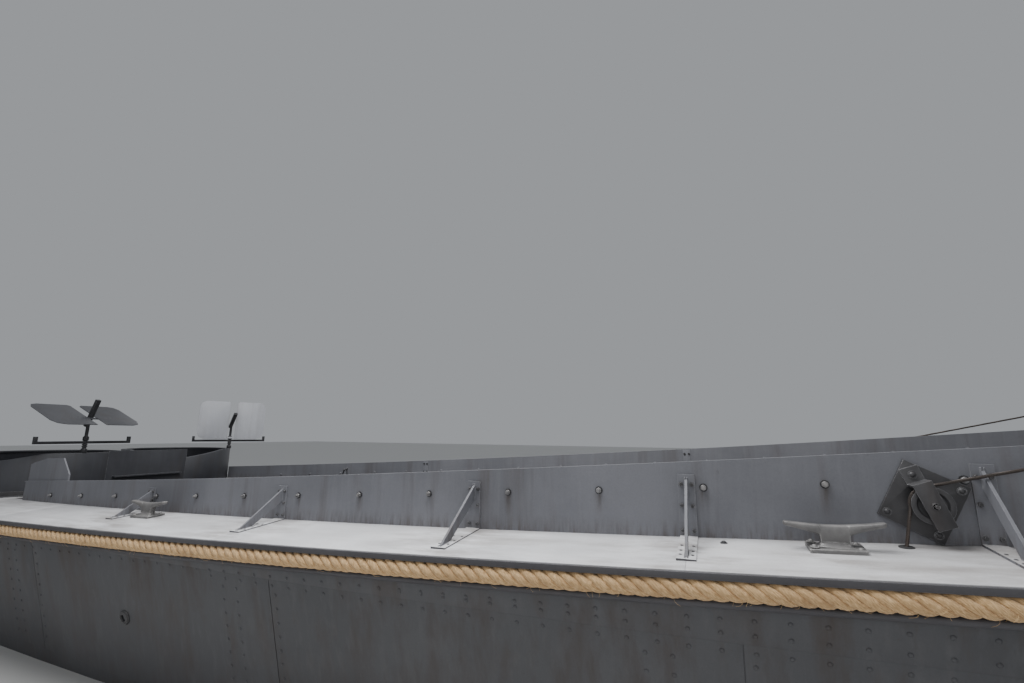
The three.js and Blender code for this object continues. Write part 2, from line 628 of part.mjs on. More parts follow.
// Ramp, drawn upright at the origin of its hinge and leant forward by its group
const RAMP = { half: 1015, plate: 10, rib: 58, ribWide: 60, foot: 34 };
const TREAD = { count: 9, from: 180, pitch: 220, tall: 34, deep: 26, margin: 120 };
const CROSS_RIBS = [RAMP.foot, 560, 1110, 1660, RAMP_LENGTH - RAMP.ribWide];
const UPRIGHTS = [-1, -0.34, 0.34, 1];
const ramp = new THREE.Group();
ramp.position.set(RAMP_FOOT_X, 0, RAMP_FOOT_Z);
ramp.rotation.y = RAMP_LEAN;
craft.add(ramp);

const treads = Array.from({ length: TREAD.count }, (_, i) => {
  const z = TREAD.from + i * TREAD.pitch;
  const half = RAMP.half - TREAD.margin;
  return box(-RAMP.plate - TREAD.deep, -RAMP.plate + 1, -half, half, z, z + TREAD.tall);
});
piece('ramp_plate', join(box(-RAMP.plate, 0, -RAMP.half, RAMP.half, RAMP.foot, RAMP_LENGTH), ...treads),
  paint(GREY_PLATE), ramp);

// The frame's knuckles turn on the hinge pin, between the headlog's lugs.
const KNUCKLES = { at: [-840, -280, 280, 840], half: 70, radius: 26, bore: 8.4 };
const LUGS = { at: [-960, -560, 0, 560, 960], half: 42, radius: 20, strap: 12, pin: 8, pinHalf: 1006 };
const ribs = [
  ...UPRIGHTS.map(k => {
    const y = k * (RAMP.half - RAMP.ribWide / 2);
    return box(GAP, RAMP.rib, y - RAMP.ribWide / 2, y + RAMP.ribWide / 2, RAMP.foot, RAMP_LENGTH);
  }),
  ...CROSS_RIBS.map(z => box(GAP, RAMP.rib - 4, -RAMP.half + 1, RAMP.half - 1, z, z + RAMP.ribWide)),
];
const knuckles = KNUCKLES.at.flatMap(y => [
  cylinder(KNUCKLES.radius, vec(0, y - KNUCKLES.half, 0), vec(0, y + KNUCKLES.half, 0), 20),
  box(GAP, 24, y - KNUCKLES.half, y + KNUCKLES.half, 5, RAMP.foot + 6),
]);
piece('ramp_frame', cut(join(...ribs, ...knuckles),
  cylinder(KNUCKLES.bore, vec(0, -1000, 0), vec(0, 1000, 0), 20)), paint(GREY_PLATE), ramp);

const onHinge = y => vec(RAMP_FOOT_X, y, RAMP_FOOT_Z);
const lugs = LUGS.at.flatMap(y => [
  cylinder(LUGS.radius, onHinge(y - LUGS.half), onHinge(y + LUGS.half), 16),
  box(HEADLOG_FORE_X + GAP, RAMP_FOOT_X - 5, y - LUGS.half, y + LUGS.half,
    RAMP_FOOT_Z - LUGS.strap, RAMP_FOOT_Z + LUGS.strap),
]);
piece('hinge_lugs', join(...lugs, cylinder(LUGS.pin, onHinge(-LUGS.pinHalf), onHinge(LUGS.pinHalf), 12)),
  paint(DARK_STEEL, 0.5, 0.6));

// Eyes at the ramp's top corners, where the cables shackle on
const EYE = { reach: 62, half: 8, below: 46, above: 24 };
for (const [name, side] of Object.entries(SIDES)) {
  const y = side * RAMP_EYE.half;
  piece(`ramp_eye_${name}`, box(-EYE.reach, -RAMP.plate - GAP, y - EYE.half, y + EYE.half,
    RAMP_EYE.along - EYE.below, RAMP_EYE.along + EYE.above), paint(DARK_STEEL, 0.5, 0.6), ramp);
}

// Tubs: open rings on the aft deck with a flat rim. In its front half each rim dips, from a place
// across the boat and by a slope, and the dip fades in forward of the tub's middle.
const TUB_SIDES = 48;
const TUB_FOOT_Z = 860;
const TUB_RIM = { wide: 40, deep: 16, round: 4 };
const TUB_DIPS = { starboard: { from: -880, slope: 0.27 }, port: { from: 850, slope: 0.18 } };
const TUB_DIP_MOST = 110;
const TUB_DIP_FADE = 250;
function rimHeight(name, x, y) {
  const { from, slope } = TUB_DIPS[name];
  const fade = THREE.MathUtils.smoothstep(x, TUB_CENTRE_X, TUB_CENTRE_X + TUB_DIP_FADE);
  return TUB_RIM_Z - fade * Math.min(slope * Math.max(from - y, 0), TUB_DIP_MOST);
}
function tub(name, side) {
  const inner = TUB_R - TUB_WALL;
  const lip = TUB_R - TUB_RIM.wide;
  const rings = Array.from({ length: TUB_SIDES }, (_, i) => {
    const a = i / TUB_SIDES * 2 * Math.PI;
    const at = (r, z) => vec(TUB_CENTRE_X + r * Math.cos(a), side * TUB_CENTRE_Y + r * Math.sin(a), z);
    const edge = at(TUB_R, 0);
    const top = rimHeight(name, edge.x, edge.y);
    const under = top - TUB_RIM.deep;
    return [at(inner, TUB_FOOT_Z), at(TUB_R, TUB_FOOT_Z), at(TUB_R, top - TUB_RIM.deep / 2),
      at(TUB_R - TUB_RIM.round, top), at(lip, top), at(lip, under), at(inner, under)];
  });
  return cut(hoop(rings), underAftDeck);
}
for (const [name, side] of Object.entries(SIDES)) piece(`tub_${name}`, tub(name, side), paint(GREY_PLATE));

// Breastwork between the tubs, over the bulkhead, with a low shelf on its front
const BREAST = { x: COAMING_AFT_X - 250, thick: 16, half: 391, foot: 900, top: 1318 };
const SHELF = { deep: 45, half: 330, low: 1062, top: 1074 };
const tubOutside = side => cylinder(TUB_R + GAP, vec(TUB_CENTRE_X, side * TUB_CENTRE_Y, 800),
  vec(TUB_CENTRE_X, side * TUB_CENTRE_Y, 1500), TUB_SIDES);
piece('tub_breastwork', cut(
  join(box(BREAST.x - BREAST.thick, BREAST.x, -BREAST.half, BREAST.half, BREAST.foot, BREAST.top),
    box(BREAST.x - 1, BREAST.x + SHELF.deep, -SHELF.half, SHELF.half, SHELF.low, SHELF.top)),
  underAftDeck, tubOutside(1), tubOutside(-1)), paint(GREY_PLATE));

// Shield posts on the tub rims: a cross bar with hooks, an empty trough and a pair of shields.
// Columns: place, turn of the post, how far the trough is raised, how far the shields lie back, and
// the height of the strap that joins them, against the post's collar or under the trough.
const PIVOT = 302;
const TROUGH = { aft: 60, fore: 210, half: 19, deep: 14 };
const SHIELD_STRAP = { half: 190, tall: 20, back: 8.4 };
const MOUNTS = {
  starboard: { x: COAMING_AFT_X - 222, y: -TUB_CENTRE_Y, turn: 6, raised: 67, back: 67,
    strap: PIVOT - TROUGH.deep - GAP - SHIELD_STRAP.tall },
  port: { x: COAMING_AFT_X - 388, y: 1012, turn: -25, raised: 38, back: 0, strap: 122 },
};
const POST = [[0, 0], [26, 0], [26, 30], [15, 44], [15, 108], [24, 116], [24, 146], [14, 156],
  [14, PIVOT - 2], [0, PIVOT - 2]];
const CROSS_BAR = { aft: -12, fore: 14, half: 395, low: 84, top: 108, hook: 150 };
const SHIELD = { wide: 335, tall: 470, gap: 80, thick: 7, at: 33, low: 112, corner: 90 };
function shieldOutline(sign) {
  const { wide, tall, gap, low, corner } = SHIELD;
  const inner = sign * gap / 2;
  const outer = sign * (gap / 2 + wide);
  const nick = sign * corner;
  const top = low + tall;
  return [[inner, low], [outer - nick, low], [outer - nick * 0.3, low + corner * 0.3], [outer, low + corner],
    [outer, top - corner * 0.8], [outer - nick * 0.25, top - corner * 0.22], [outer - nick * 0.8, top],
    [inner + sign * 20, top], [inner, top - 20]];
}
for (const [name, row] of Object.entries(MOUNTS)) {
  const mount = new THREE.Group();
  mount.position.set(row.x, row.y, TUB_RIM_Z + GAP);
  mount.rotation.z = THREE.MathUtils.degToRad(row.turn);
  craft.add(mount);
  const { aft, fore, half, low, top, hook } = CROSS_BAR;
  const ends = [-1, 1].map(k => box(aft, fore, k * half - 12, k * half + 12, low, hook));
  const trough = box(-TROUGH.aft, TROUGH.fore, -TROUGH.half, TROUGH.half, -TROUGH.deep, TROUGH.deep)
    .rotateY(THREE.MathUtils.degToRad(-row.raised)).translate(0, 0, PIVOT);
  const post = turned(POST, vec(0, 0, 0), vec(0, 0, 1), 16);
  piece(`mount_${name}`, join(post, box(aft, fore, -half, half, low, top), ...ends, trough),
    paint(DARK_STEEL, 0.5, 0.5), mount);
  const plates = [-1, 1].map(sign =>
    plateXZ(shieldOutline(sign), SHIELD.at, SHIELD.at + SHIELD.thick).rotateZ(-Math.PI / 2));
  const strap = box(SHIELD.at - SHIELD_STRAP.back, SHIELD.at + 1, -SHIELD_STRAP.half, SHIELD_STRAP.half,
    row.strap, row.strap + SHIELD_STRAP.tall);
  const shields = join(...plates, strap).translate(0, 0, -PIVOT)
    .rotateY(THREE.MathUtils.degToRad(-row.back)).translate(0, 0, PIVOT);
  piece(`shield_${name}`, shields, paint(GREY_LIGHT), mount);
}

// Engine box with two lids, and the engine as a plain block
const boxFloor = lines('floor', 2) + GAP;
const LID = { thick: 30, over: 12, centre: 3, barrel: 10, barrelEnd: 100 };
const ENGINE = { aft: ENGINE_BOX.aft + 350, fore: ENGINE_BOX.aft + 1750, half: 330, top: 780 };
const insideHalf = ENGINE_BOX.half - ENGINE_BOX.wall;
piece('engine_box', cut(
  box(ENGINE_BOX.aft, ENGINE_BOX.fore, -ENGINE_BOX.half, ENGINE_BOX.half, boxFloor, ENGINE_BOX.top),
  box(ENGINE_BOX.aft + ENGINE_BOX.wall, ENGINE_BOX.fore - ENGINE_BOX.wall, -insideHalf, insideHalf,
    boxFloor - 10, ENGINE_BOX.top + 10),
), paint(GREY_PLATE));
piece('engine_block', box(ENGINE.aft, ENGINE.fore, -ENGINE.half, ENGINE.half, boxFloor, ENGINE.top),
  paint(ENGINE_GREEN, 0.7, 0.3));
for (const [name, side] of Object.entries(SIDES)) {
  const outer = side * (ENGINE_BOX.half + LID.over);
  const top = ENGINE_BOX.top + LID.thick;
  const edges = [side * LID.centre, outer].sort((a, b) => a - b);
  const lid = box(ENGINE_BOX.aft - LID.over, ENGINE_BOX.fore + LID.over, ...edges,
    ENGINE_BOX.top + GAP, top);
  const barrel = cylinder(LID.barrel, vec(ENGINE_BOX.aft + LID.barrelEnd, outer, top),
    vec(ENGINE_BOX.fore - LID.barrelEnd, outer, top), 12);
  piece(`engine_lid_${name}`, join(lid, barrel), paint(GREY_PLATE));
}

// Helm: instrument stand on the port side, wheel on its aft face
const HELM = { x: COAMING_AFT_X + 1500, y: 850, z: 815, r: 195 };
const HELM_STAND = { deep: 240, half: 190, top: 1000 };
const HELM_WHEEL = { rim: 13, spoke: 9, spokes: 5, hub: 30, hubAft: 20, off: 70 };
piece('helm_stand', box(HELM.x, HELM.x + HELM_STAND.deep, HELM.y - HELM_STAND.half, HELM.y + HELM_STAND.half,
  boxFloor, HELM_STAND.top), paint(GREY_PLATE));
const wheelRim = new THREE.TorusGeometry(HELM.r, HELM_WHEEL.rim, 10, 32).rotateY(Math.PI / 2);
const spokes = Array.from({ length: HELM_WHEEL.spokes }, (_, i) => {
  const a = i / HELM_WHEEL.spokes * 2 * Math.PI;
  return cylinder(HELM_WHEEL.spoke, vec(0, 0, 0), vec(0, HELM.r * Math.cos(a), HELM.r * Math.sin(a)), 8);
});
const wheelHub = cylinder(HELM_WHEEL.hub, vec(-HELM_WHEEL.hubAft, 0, 0), vec(HELM_WHEEL.off - GAP, 0, 0), 16);
piece('helm_wheel', join(wheelRim, ...spokes, wheelHub).translate(HELM.x - HELM_WHEEL.off, HELM.y, HELM.z),
  paint(DARK_STEEL, 0.6, 0.2));

// Ramp winch on the starboard side of the engine box: a bed, two cheeks and a drum
const WINCH = { x: COAMING_AFT_X + 2760, y: -790, z: 520 };
const WINCH_BED = { halfLong: 150, half: 170, below: 120 };
const CHEEK = { halfLong: 110, thick: 20, above: 110 };
const DRUM = { radius: 60, flange: 95, flangeThick: 14 };
const drumHalf = WINCH_BED.half - CHEEK.thick;
const onDrum = d => vec(WINCH.x, WINCH.y + d, WINCH.z);
const winchSides = [-1, 1].flatMap(k => {
  const cheek = [k * drumHalf, k * WINCH_BED.half].map(d => WINCH.y + d).sort((a, b) => a - b);
  return [
    box(WINCH.x - CHEEK.halfLong, WINCH.x + CHEEK.halfLong, ...cheek,
      WINCH.z - WINCH_BED.below - 1, WINCH.z + CHEEK.above),
    cylinder(DRUM.flange, onDrum(k * drumHalf), onDrum(k * (drumHalf - DRUM.flangeThick)), 24),
  ];
});
piece('ramp_winch', join(
  box(WINCH.x - WINCH_BED.halfLong, WINCH.x + WINCH_BED.halfLong, WINCH.y - WINCH_BED.half,
    WINCH.y + WINCH_BED.half, boxFloor, WINCH.z - WINCH_BED.below),
  cylinder(DRUM.radius, onDrum(-drumHalf - 1), onDrum(drumHalf + 1), 20),
  ...winchSides,
), paint(DARK_STEEL, 0.5, 0.5));

// Stern bitt between the tubs
const BITT = {
  x: TRANSOM_X + 190, base: 110, baseThick: 14, post: 52, tall: 330, bar: 26, barHalf: 170, barUp: 235,
};
const bittFoot = deckAt(BITT.x, wallHalf(BITT.x)) + 1;
const onBitt = (y, up) => vec(BITT.x, y, bittFoot + up);
piece('stern_bitt', join(
  box(BITT.x - BITT.base, BITT.x + BITT.base, -BITT.base, BITT.base, bittFoot, bittFoot + BITT.baseThick),
  cylinder(BITT.post, onBitt(0, 5), onBitt(0, BITT.tall), 20),
  cylinder(BITT.bar, onBitt(-BITT.barHalf, BITT.barUp), onBitt(BITT.barHalf, BITT.barUp), 14),
), paint(GREY_LIGHT, 0.5, 0.3));

// Mushroom vents on the quarters: radius and height of each step of the cap
const VENT = { at: -0.35, offset: 190, base: 46 };
const VENT_CAP = [[0, 0], [VENT.base, 0], [VENT.base, 8], [34, 10], [34, 34], [62, 36], [66, 48],
  [56, 68], [32, 82], [0, 87]];
for (const [name, side] of Object.entries(SIDES)) {
  const x = station(VENT.at);
  const y = coamingHalf(x) + VENT.offset;
  const foot = vec(x, side * y, deckAt(x, y - VENT.base) + GAP);
  piece(`vent_${name}`, turned(VENT_CAP, foot, vec(0, 0, 1), 24), paint(GREY_LIGHT, 0.5, 0.2));
}

// Discharge fitting on the starboard side, square to the flared planking
const DISCHARGE = { s: 2.054, z: 449, outer: 44, bore: 20, seat: -0.2 };
const DISCHARGE_RING = [[DISCHARGE.bore, 0], [DISCHARGE.outer, 0], [DISCHARGE.outer, 6],
  [DISCHARGE.outer - 8, 14], [DISCHARGE.bore + 4, 16], [DISCHARGE.bore, 10], [DISCHARGE.bore, 0]];
const dischargeX = station(DISCHARGE.s);
const squareOut = vec(0, -1, -FLARE).normalize();
piece('discharge_fitting', turned(DISCHARGE_RING,
  vec(dischargeX, -(flareHalf(dischargeX, DISCHARGE.z) + DISCHARGE.seat), DISCHARGE.z), squareOut, 24),
paint(GREY_PLATE, 0.5, 0.4));

// Propeller with its shaft stub, and the rudder
const PROPELLER = { hub: 52, hubHalf: 70, nut: 28, nutLong: 45, blades: 4, thick: 12, twist: 58 };
function blade(number) {
  const shape = new THREE.Shape();
  shape.moveTo(-28, 30);
  shape.quadraticCurveTo(-110, 150, -62, 236);
  shape.quadraticCurveTo(0, 300, 62, 236);
  shape.quadraticCurveTo(110, 150, 28, 30);
  return new THREE.ExtrudeGeometry(shape, { depth: PROPELLER.thick, bevelEnabled: false, curveSegments: 5 })
    .translate(0, 0, -PROPELLER.thick / 2).rotateX(Math.PI / 2)
    .rotateZ(THREE.MathUtils.degToRad(PROPELLER.twist))
    .rotateX(number / PROPELLER.blades * 2 * Math.PI).translate(PROPELLER_X, 0, SHAFT_Z);
}
const hubAft = PROPELLER_X - PROPELLER.hubHalf;
const hubFore = PROPELLER_X + PROPELLER.hubHalf;
piece('propeller', join(
  cylinder(PROPELLER.hub, onShaft(hubAft), onShaft(hubFore), 20),
  cylinder(PROPELLER.nut, onShaft(hubAft - PROPELLER.nutLong), onShaft(hubAft + 5), 12),
  cylinder(SHAFT_R, onShaft(hubFore - 10), onShaft(SKEG_AFT_X - 10), 14),
  ...Array.from({ length: PROPELLER.blades }, (_, i) => blade(i)),
), paint(BRONZE, 0.35, 0.9));

const RUDDER = { stock: 24, half: 16 };
const RUDDER_BLADE = [[110, -730], [120, -260], [60, -170], [-380, -210], [-400, -640], [-330, -730]];
const rudderTop = lines('keel', forward(RUDDER_X)) - 8;
piece('rudder', join(
  cylinder(RUDDER.stock, vec(RUDDER_X, 0, HEEL_TOP_Z + 1), vec(RUDDER_X, 0, rudderTop), 16),
  plateXZ(RUDDER_BLADE.map(([dx, z]) => [RUDDER_X + dx, z]), -RUDDER.half, RUDDER.half),
), paint(ANTIFOUL));

export default craft;
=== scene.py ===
# %% [markdown]
# # Dressing a landing craft
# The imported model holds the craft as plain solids. This lesson gives every surface its finish and
# adds what plain solids leave out: plate seams, rivets, bolts, welds, a laid rope and worn paint.
# Every length is in metres, +X is forward, +Y is port, and Z is zero at the waterline.

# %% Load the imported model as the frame
import json
import random
from math import atan2, cos, pi, radians, sin, tan

import bpy
import numpy as np
from mathutils import Matrix, Vector


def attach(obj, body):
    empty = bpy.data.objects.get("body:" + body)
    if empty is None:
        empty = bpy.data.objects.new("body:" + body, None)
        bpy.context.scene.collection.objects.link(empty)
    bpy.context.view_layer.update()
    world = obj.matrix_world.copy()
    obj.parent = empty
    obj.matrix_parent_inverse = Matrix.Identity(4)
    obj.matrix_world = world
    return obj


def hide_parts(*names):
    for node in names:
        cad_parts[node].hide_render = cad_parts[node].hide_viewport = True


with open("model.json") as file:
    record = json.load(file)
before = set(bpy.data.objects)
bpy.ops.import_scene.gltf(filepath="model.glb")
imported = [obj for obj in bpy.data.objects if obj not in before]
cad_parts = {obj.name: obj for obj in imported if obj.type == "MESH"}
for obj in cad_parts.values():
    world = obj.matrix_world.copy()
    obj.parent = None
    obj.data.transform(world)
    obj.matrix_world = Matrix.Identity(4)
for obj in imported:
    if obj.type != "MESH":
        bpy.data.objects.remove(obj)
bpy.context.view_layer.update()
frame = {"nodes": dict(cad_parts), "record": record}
bpy.ops.object.select_all(action="DESELECT")

# %% [markdown]
# The hull's lines are smooth curves of the distance from the coaming's aft end. The same formulas
# place the deck, the coamings and everything that is bolted to them, so a rivet always sits on its
# plate.

# %% Hull lines
LENGTH = 11.05
TRANSOM = -LENGTH / 2
COAMING_AFT = TRANSOM + 1.75
PLANK = 0.028
CAMBER = 0.072
GUARD_RECESS = 0.076
FLARE = tan(radians(14.5))
WALL_INSET = 0.030
COAMING_THICK = 0.016
ROPE_RADIUS = 0.036
ROPE_FLAT = ROPE_RADIUS * cos(pi / 8)
SEAT_GAP = 0.0003
SIDES = {"starboard": -1, "port": 1}


def forward(x):
    return x - COAMING_AFT


def station(s):
    return COAMING_AFT + s


PARALLEL_END = 6.6


def coaming_half(x):
    """Half the width over the coamings: a shallow bow in plan, and straight in towards the ramp."""
    bowed = min(forward(x), PARALLEL_END) - PARALLEL_END / 2
    narrowing = 0.0397 * max(forward(x) - PARALLEL_END, 0)
    return 1.190 + 0.0052 * bowed - 0.0068 * bowed**2 - narrowing


def wall_half(x):
    return coaming_half(x) - WALL_INSET


def deck_half(x):
    return coaming_half(x) + 0.436 - 0.0102 * (forward(x) - 3)


# Height, slope and bend of the deck beside the coaming, and of the coaming's top
DECK_LINE = (0.950, 0.01624, 0.00278)
COAMING_LINE = (1.1019, 0.0469, 0.002504)


def deck_height(x):
    height, slope, bend = DECK_LINE
    return height + slope * forward(x) + bend * forward(x) ** 2


def deck_at(x, y):
    return deck_height(x) - CAMBER * (abs(y) - coaming_half(x))


def aft_deck_at(x, y):
    """The aft deck is flat between the walls and slopes down outboard of them."""
    return deck_at(x, max(abs(y), wall_half(x)))


def coaming_top(x):
    height, slope, bend = COAMING_LINE
    return height + slope * forward(x) + bend * forward(x) ** 2


def side_half(x):
    return deck_half(x) - GUARD_RECESS


def side_top(x):
    return deck_at(x, side_half(x)) - PLANK


def flare_half(x, z):
    return side_half(x) - FLARE * (side_top(x) - z)


def rope_y(x):
    return deck_half(x) - ROPE_RADIUS + 0.009


def rope_z(x):
    return deck_at(x, rope_y(x) + 0.015) - PLANK - ROPE_FLAT - SEAT_GAP


print("deck is", round(2 * deck_half(0), 3), "m wide at half length")

# %% [markdown]
# The camera repeats the viewpoint: low, just outboard of the starboard side, with a very wide
# lens. It was found by fitting the deck edge, the coaming and the stays to the photograph.

# %% Camera
CAMERA_PLACE = Vector((1.518, -3.394, 1.522))
CAMERA_YAW = radians(22.26)
CAMERA_PITCH = radians(10.93)
CAMERA_ROLL = radians(-0.52)
SENSOR = 36.0
FOCAL_LENGTH = 16.81

camera_data = bpy.data.cameras.new("camera")
camera_data.sensor_width = SENSOR
camera_data.lens = FOCAL_LENGTH
camera_data.clip_end = 200
camera = bpy.data.objects.new("camera", camera_data)
bpy.context.scene.collection.objects.link(camera)
level = Vector((-sin(CAMERA_YAW), cos(CAMERA_YAW), 0))
across = Vector((cos(CAMERA_YAW), sin(CAMERA_YAW), 0))
down = Vector((0, 0, -1))
ahead = cos(CAMERA_PITCH) * level - sin(CAMERA_PITCH) * down
below = sin(CAMERA_PITCH) * level + cos(CAMERA_PITCH) * down
right = cos(CAMERA_ROLL) * across + sin(CAMERA_ROLL) * below
lower = -sin(CAMERA_ROLL) * across + cos(CAMERA_ROLL) * below
turn = Matrix((right, -lower, -ahead)).transposed()
camera.matrix_world = Matrix.Translation(CAMERA_PLACE) @ turn.to_4x4()
bpy.context.scene.camera = camera
print("lens", FOCAL_LENGTH, "mm")

# %% [markdown]
# A plain pale floor lies at the waterline. A large soft light hangs over the middle of the craft,
# as in a hall: the deck catches it, the ends are a little dimmer, and the sides fall into shade.

# %% Floor and light
FLOOR_SIZE = 120.0


def plain_material(name, color, roughness):
    material = bpy.data.materials.new(name)
    material.use_nodes = True
    shader = material.node_tree.nodes["Principled BSDF"]
    shader.inputs["Base Color"].default_value = (*color, 1)
    shader.inputs["Roughness"].default_value = roughness
    return material


bpy.ops.mesh.primitive_plane_add(size=FLOOR_SIZE, location=(0, 0, 0))
floor = bpy.context.object
floor.name = "floor"
floor.data.materials.append(plain_material("pale_floor", (0.62, 0.62, 0.61), 0.75))

LIGHTS = [
    {"name": "overhead", "place": (0.1, -1.6, 4.6), "aim": (0.1, -1.1, 0.5), "size": (3.0, 2.4),
     "watts": 215},
    {"name": "hall", "place": (-0.5, 0.0, 8.0), "aim": (-0.5, 0.0, 0.5), "size": (13, 7), "watts": 290},
    {"name": "fill", "place": (2.0, -9.0, 3.2), "aim": (1.0, 0.0, 0.8), "size": (7, 4), "watts": 110},
    {"name": "back", "place": (-6.0, 8.0, 5.5), "aim": (0.0, 0.0, 0.8), "size": (8, 4), "watts": 240},
]
for row in LIGHTS:
    data = bpy.data.lights.new(row["name"], "AREA")
    data.shape = "RECTANGLE"
    data.size, data.size_y = row["size"]
    data.energy = row["watts"]
    light = bpy.data.objects.new(row["name"], data)
    bpy.context.scene.collection.objects.link(light)
    light.location = row["place"]
    away = Vector(row["place"]) - Vector(row["aim"])
    light.rotation_euler = away.to_track_quat("Z", "Y").to_euler()

SKY_COLOR = (0.80, 0.83, 0.87, 1)
SKY_STRENGTH = 0.42
world = bpy.data.worlds.new("soft_sky")
bpy.context.scene.world = world
world.use_nodes = True
world.node_tree.nodes["Background"].inputs["Color"].default_value = SKY_COLOR
world.node_tree.nodes["Background"].inputs["Strength"].default_value = SKY_STRENGTH
print("lights", [row["name"] for row in LIGHTS])

# %% [markdown]
# Old paint is never one colour. A shared node group mixes its layers: broad patches where the
# paint has chalked, streaks that brush and rain have drawn over the plates, small chips, and bare
# worn edges. It gives a colour, a roughness and a height, and each material sets its own paint and
# how worn it is. The stretch says which way the streaks run: down a side, or along a deck.

# %% Weathered paint as a node group
def new_group(name, inputs, outputs):
    tree = bpy.data.node_groups.new(name, "ShaderNodeTree")
    for label, kind, value in inputs:
        socket = tree.interface.new_socket(label, in_out="INPUT", socket_type=kind)
        socket.default_value = value
    for label, kind in outputs:
        tree.interface.new_socket(label, in_out="OUTPUT", socket_type=kind)
    start = tree.nodes.new("NodeGroupInput")
    end = tree.nodes.new("NodeGroupOutput")
    return tree, start, end


class Wiring:
    """Short calls for adding and joining nodes in one tree."""

    def __init__(self, tree):
        self.tree = tree

    def node(self, kind, **settings):
        made = self.tree.nodes.new(kind)
        for key, value in settings.items():
            setattr(made, key, value)
        return made

    def feed(self, socket, value):
        if isinstance(value, bpy.types.NodeSocket):
            self.tree.links.new(value, socket)
        else:
            socket.default_value = value

    def stretch(self, vector, scale):
        mapping = self.node("ShaderNodeMapping")
        self.feed(mapping.inputs["Vector"], vector)
        self.feed(mapping.inputs["Scale"], scale)
        return mapping.outputs["Vector"]

    def noise(self, vector, scale, detail=4.0, roughness=0.55, distortion=0.0):
        made = self.node("ShaderNodeTexNoise")
        self.feed(made.inputs["Vector"], vector)
        self.feed(made.inputs["Scale"], scale)
        self.feed(made.inputs["Detail"], detail)
        self.feed(made.inputs["Roughness"], roughness)
        self.feed(made.inputs["Distortion"], distortion)
        return made.outputs["Fac"]

    def remap(self, value, low, high, to_low=0.0, to_high=1.0):
        made = self.node("ShaderNodeMapRange")
        for label, item in zip(("Value", "From Min", "From Max", "To Min", "To Max"),
                               (value, low, high, to_low, to_high)):
            self.feed(made.inputs[label], item)
        return made.outputs["Result"]

    def math(self, operation, a, b=0.0):
        made = self.node("ShaderNodeMath", operation=operation)
        self.feed(made.inputs[0], a)
        self.feed(made.inputs[1], b)
        return made.outputs[0]

    def product(self, first, *more):
        for factor in more:
            first = self.math("MULTIPLY", first, factor)
        return first

    def total(self, first, *more):
        for term in more:
            first = self.math("ADD", first, term)
        return first

    def mix(self, amount, a, b):
        made = self.node("ShaderNodeMix", data_type="RGBA")
        self.feed(made.inputs["Factor"], amount)
        self.feed(made.inputs["A"], a)
        self.feed(made.inputs["B"], b)
        return made.outputs["Result"]

    def axes(self, vector):
        parts = self.node("ShaderNodeSeparateXYZ")
        self.feed(parts.inputs[0], vector)
        return parts.outputs

    def quadratic(self, value, constant, slope, bend):
        """constant + slope * value + bend * value squared."""
        squared = self.math("MULTIPLY", value, value)
        return self.total(self.product(value, slope), self.product(squared, bend), constant)


def weathered_paint_group():
    tree, start, end = new_group("weathered paint", [
        ("Place", "NodeSocketVector", (0, 0, 0)),
        ("Stretch", "NodeSocketVector", (7, 7, 0.55)),
        ("Paint", "NodeSocketColor", (0.2, 0.2, 0.2, 1)),
        ("Chalk", "NodeSocketColor", (0.3, 0.3, 0.3, 1)),
        ("Grime", "NodeSocketColor", (0.1, 0.08, 0.06, 1)),
        ("Bare", "NodeSocketColor", (0.4, 0.4, 0.4, 1)),
        ("Edge", "NodeSocketFloat", 0.0),
        ("Stain and shade", "NodeSocketFloat", 0.0),
        ("Patch size", "NodeSocketFloat", 1.2),
        ("Patches", "NodeSocketFloat", 0.5),
        ("Streaks", "NodeSocketFloat", 0.3),
        ("Chips", "NodeSocketFloat", 0.2),
        ("Gloss", "NodeSocketFloat", 0.55),
    ], [("Color", "NodeSocketColor"), ("Roughness", "NodeSocketFloat"), ("Height", "NodeSocketFloat")])
    w = Wiring(tree)
    given = start.outputs
    place = given["Place"]
    drawn = w.stretch(place, given["Stretch"])

    broad = w.noise(place, given["Patch size"], 6.0, 0.62)
    patches = w.product(w.remap(broad, 0.40, 0.66), given["Patches"])
    worn = w.mix(patches, given["Paint"], given["Chalk"])

    brushed = w.noise(drawn, 3.4, 5.0, 0.62)
    pale = w.product(w.remap(brushed, 0.50, 0.76), given["Streaks"], 0.8)
    dull_streaks = w.mix(pale, worn, given["Chalk"])
    fine = w.noise(drawn, 11.0, 4.0, 0.65)
    hairline = w.product(w.remap(fine, 0.56, 0.78), given["Streaks"], 0.55)
    scratched = w.mix(hairline, dull_streaks, given["Chalk"])
    run = w.noise(drawn, 1.3, 6.0, 0.62, 0.2)
    runs = w.product(w.remap(run, 0.52, 0.74), given["Streaks"])
    dirty = w.mix(runs, scratched, given["Grime"])

    speckle = w.noise(place, 38.0, 6.0, 0.7)
    chips = w.product(w.remap(speckle, 0.66, 0.70), given["Chips"])
    chipped = w.mix(chips, dirty, given["Grime"])
    rubbed = w.product(w.remap(speckle, 0.34, 0.56), given["Edge"])
    bared = w.mix(rubbed, chipped, given["Bare"])
    # The stain mask mixes in the grime colour; on the deck it also paints shade at both ends.
    stained_and_shaded = w.mix(given["Stain and shade"], bared, given["Grime"])

    grain = w.noise(place, 140.0, 3.0, 0.6)
    shaded = w.node("ShaderNodeVectorMath", operation="SCALE")
    w.feed(shaded.inputs[0], stained_and_shaded)
    w.feed(shaded.inputs["Scale"], w.remap(grain, 0.3, 0.7, 0.94, 1.05))
    w.feed(end.inputs["Color"], shaded.outputs[0])

    dull = w.total(given["Gloss"], w.product(patches, 0.20), w.product(grain, 0.10),
                   w.product(fine, 0.08))
    w.feed(end.inputs["Roughness"], w.total(dull, w.product(rubbed, -0.12)))
    relief = w.total(w.product(grain, 0.12), w.product(broad, 0.6), w.product(fine, 0.10),
                     w.product(chips, -0.8))
    w.feed(end.inputs["Height"], relief)
    return tree


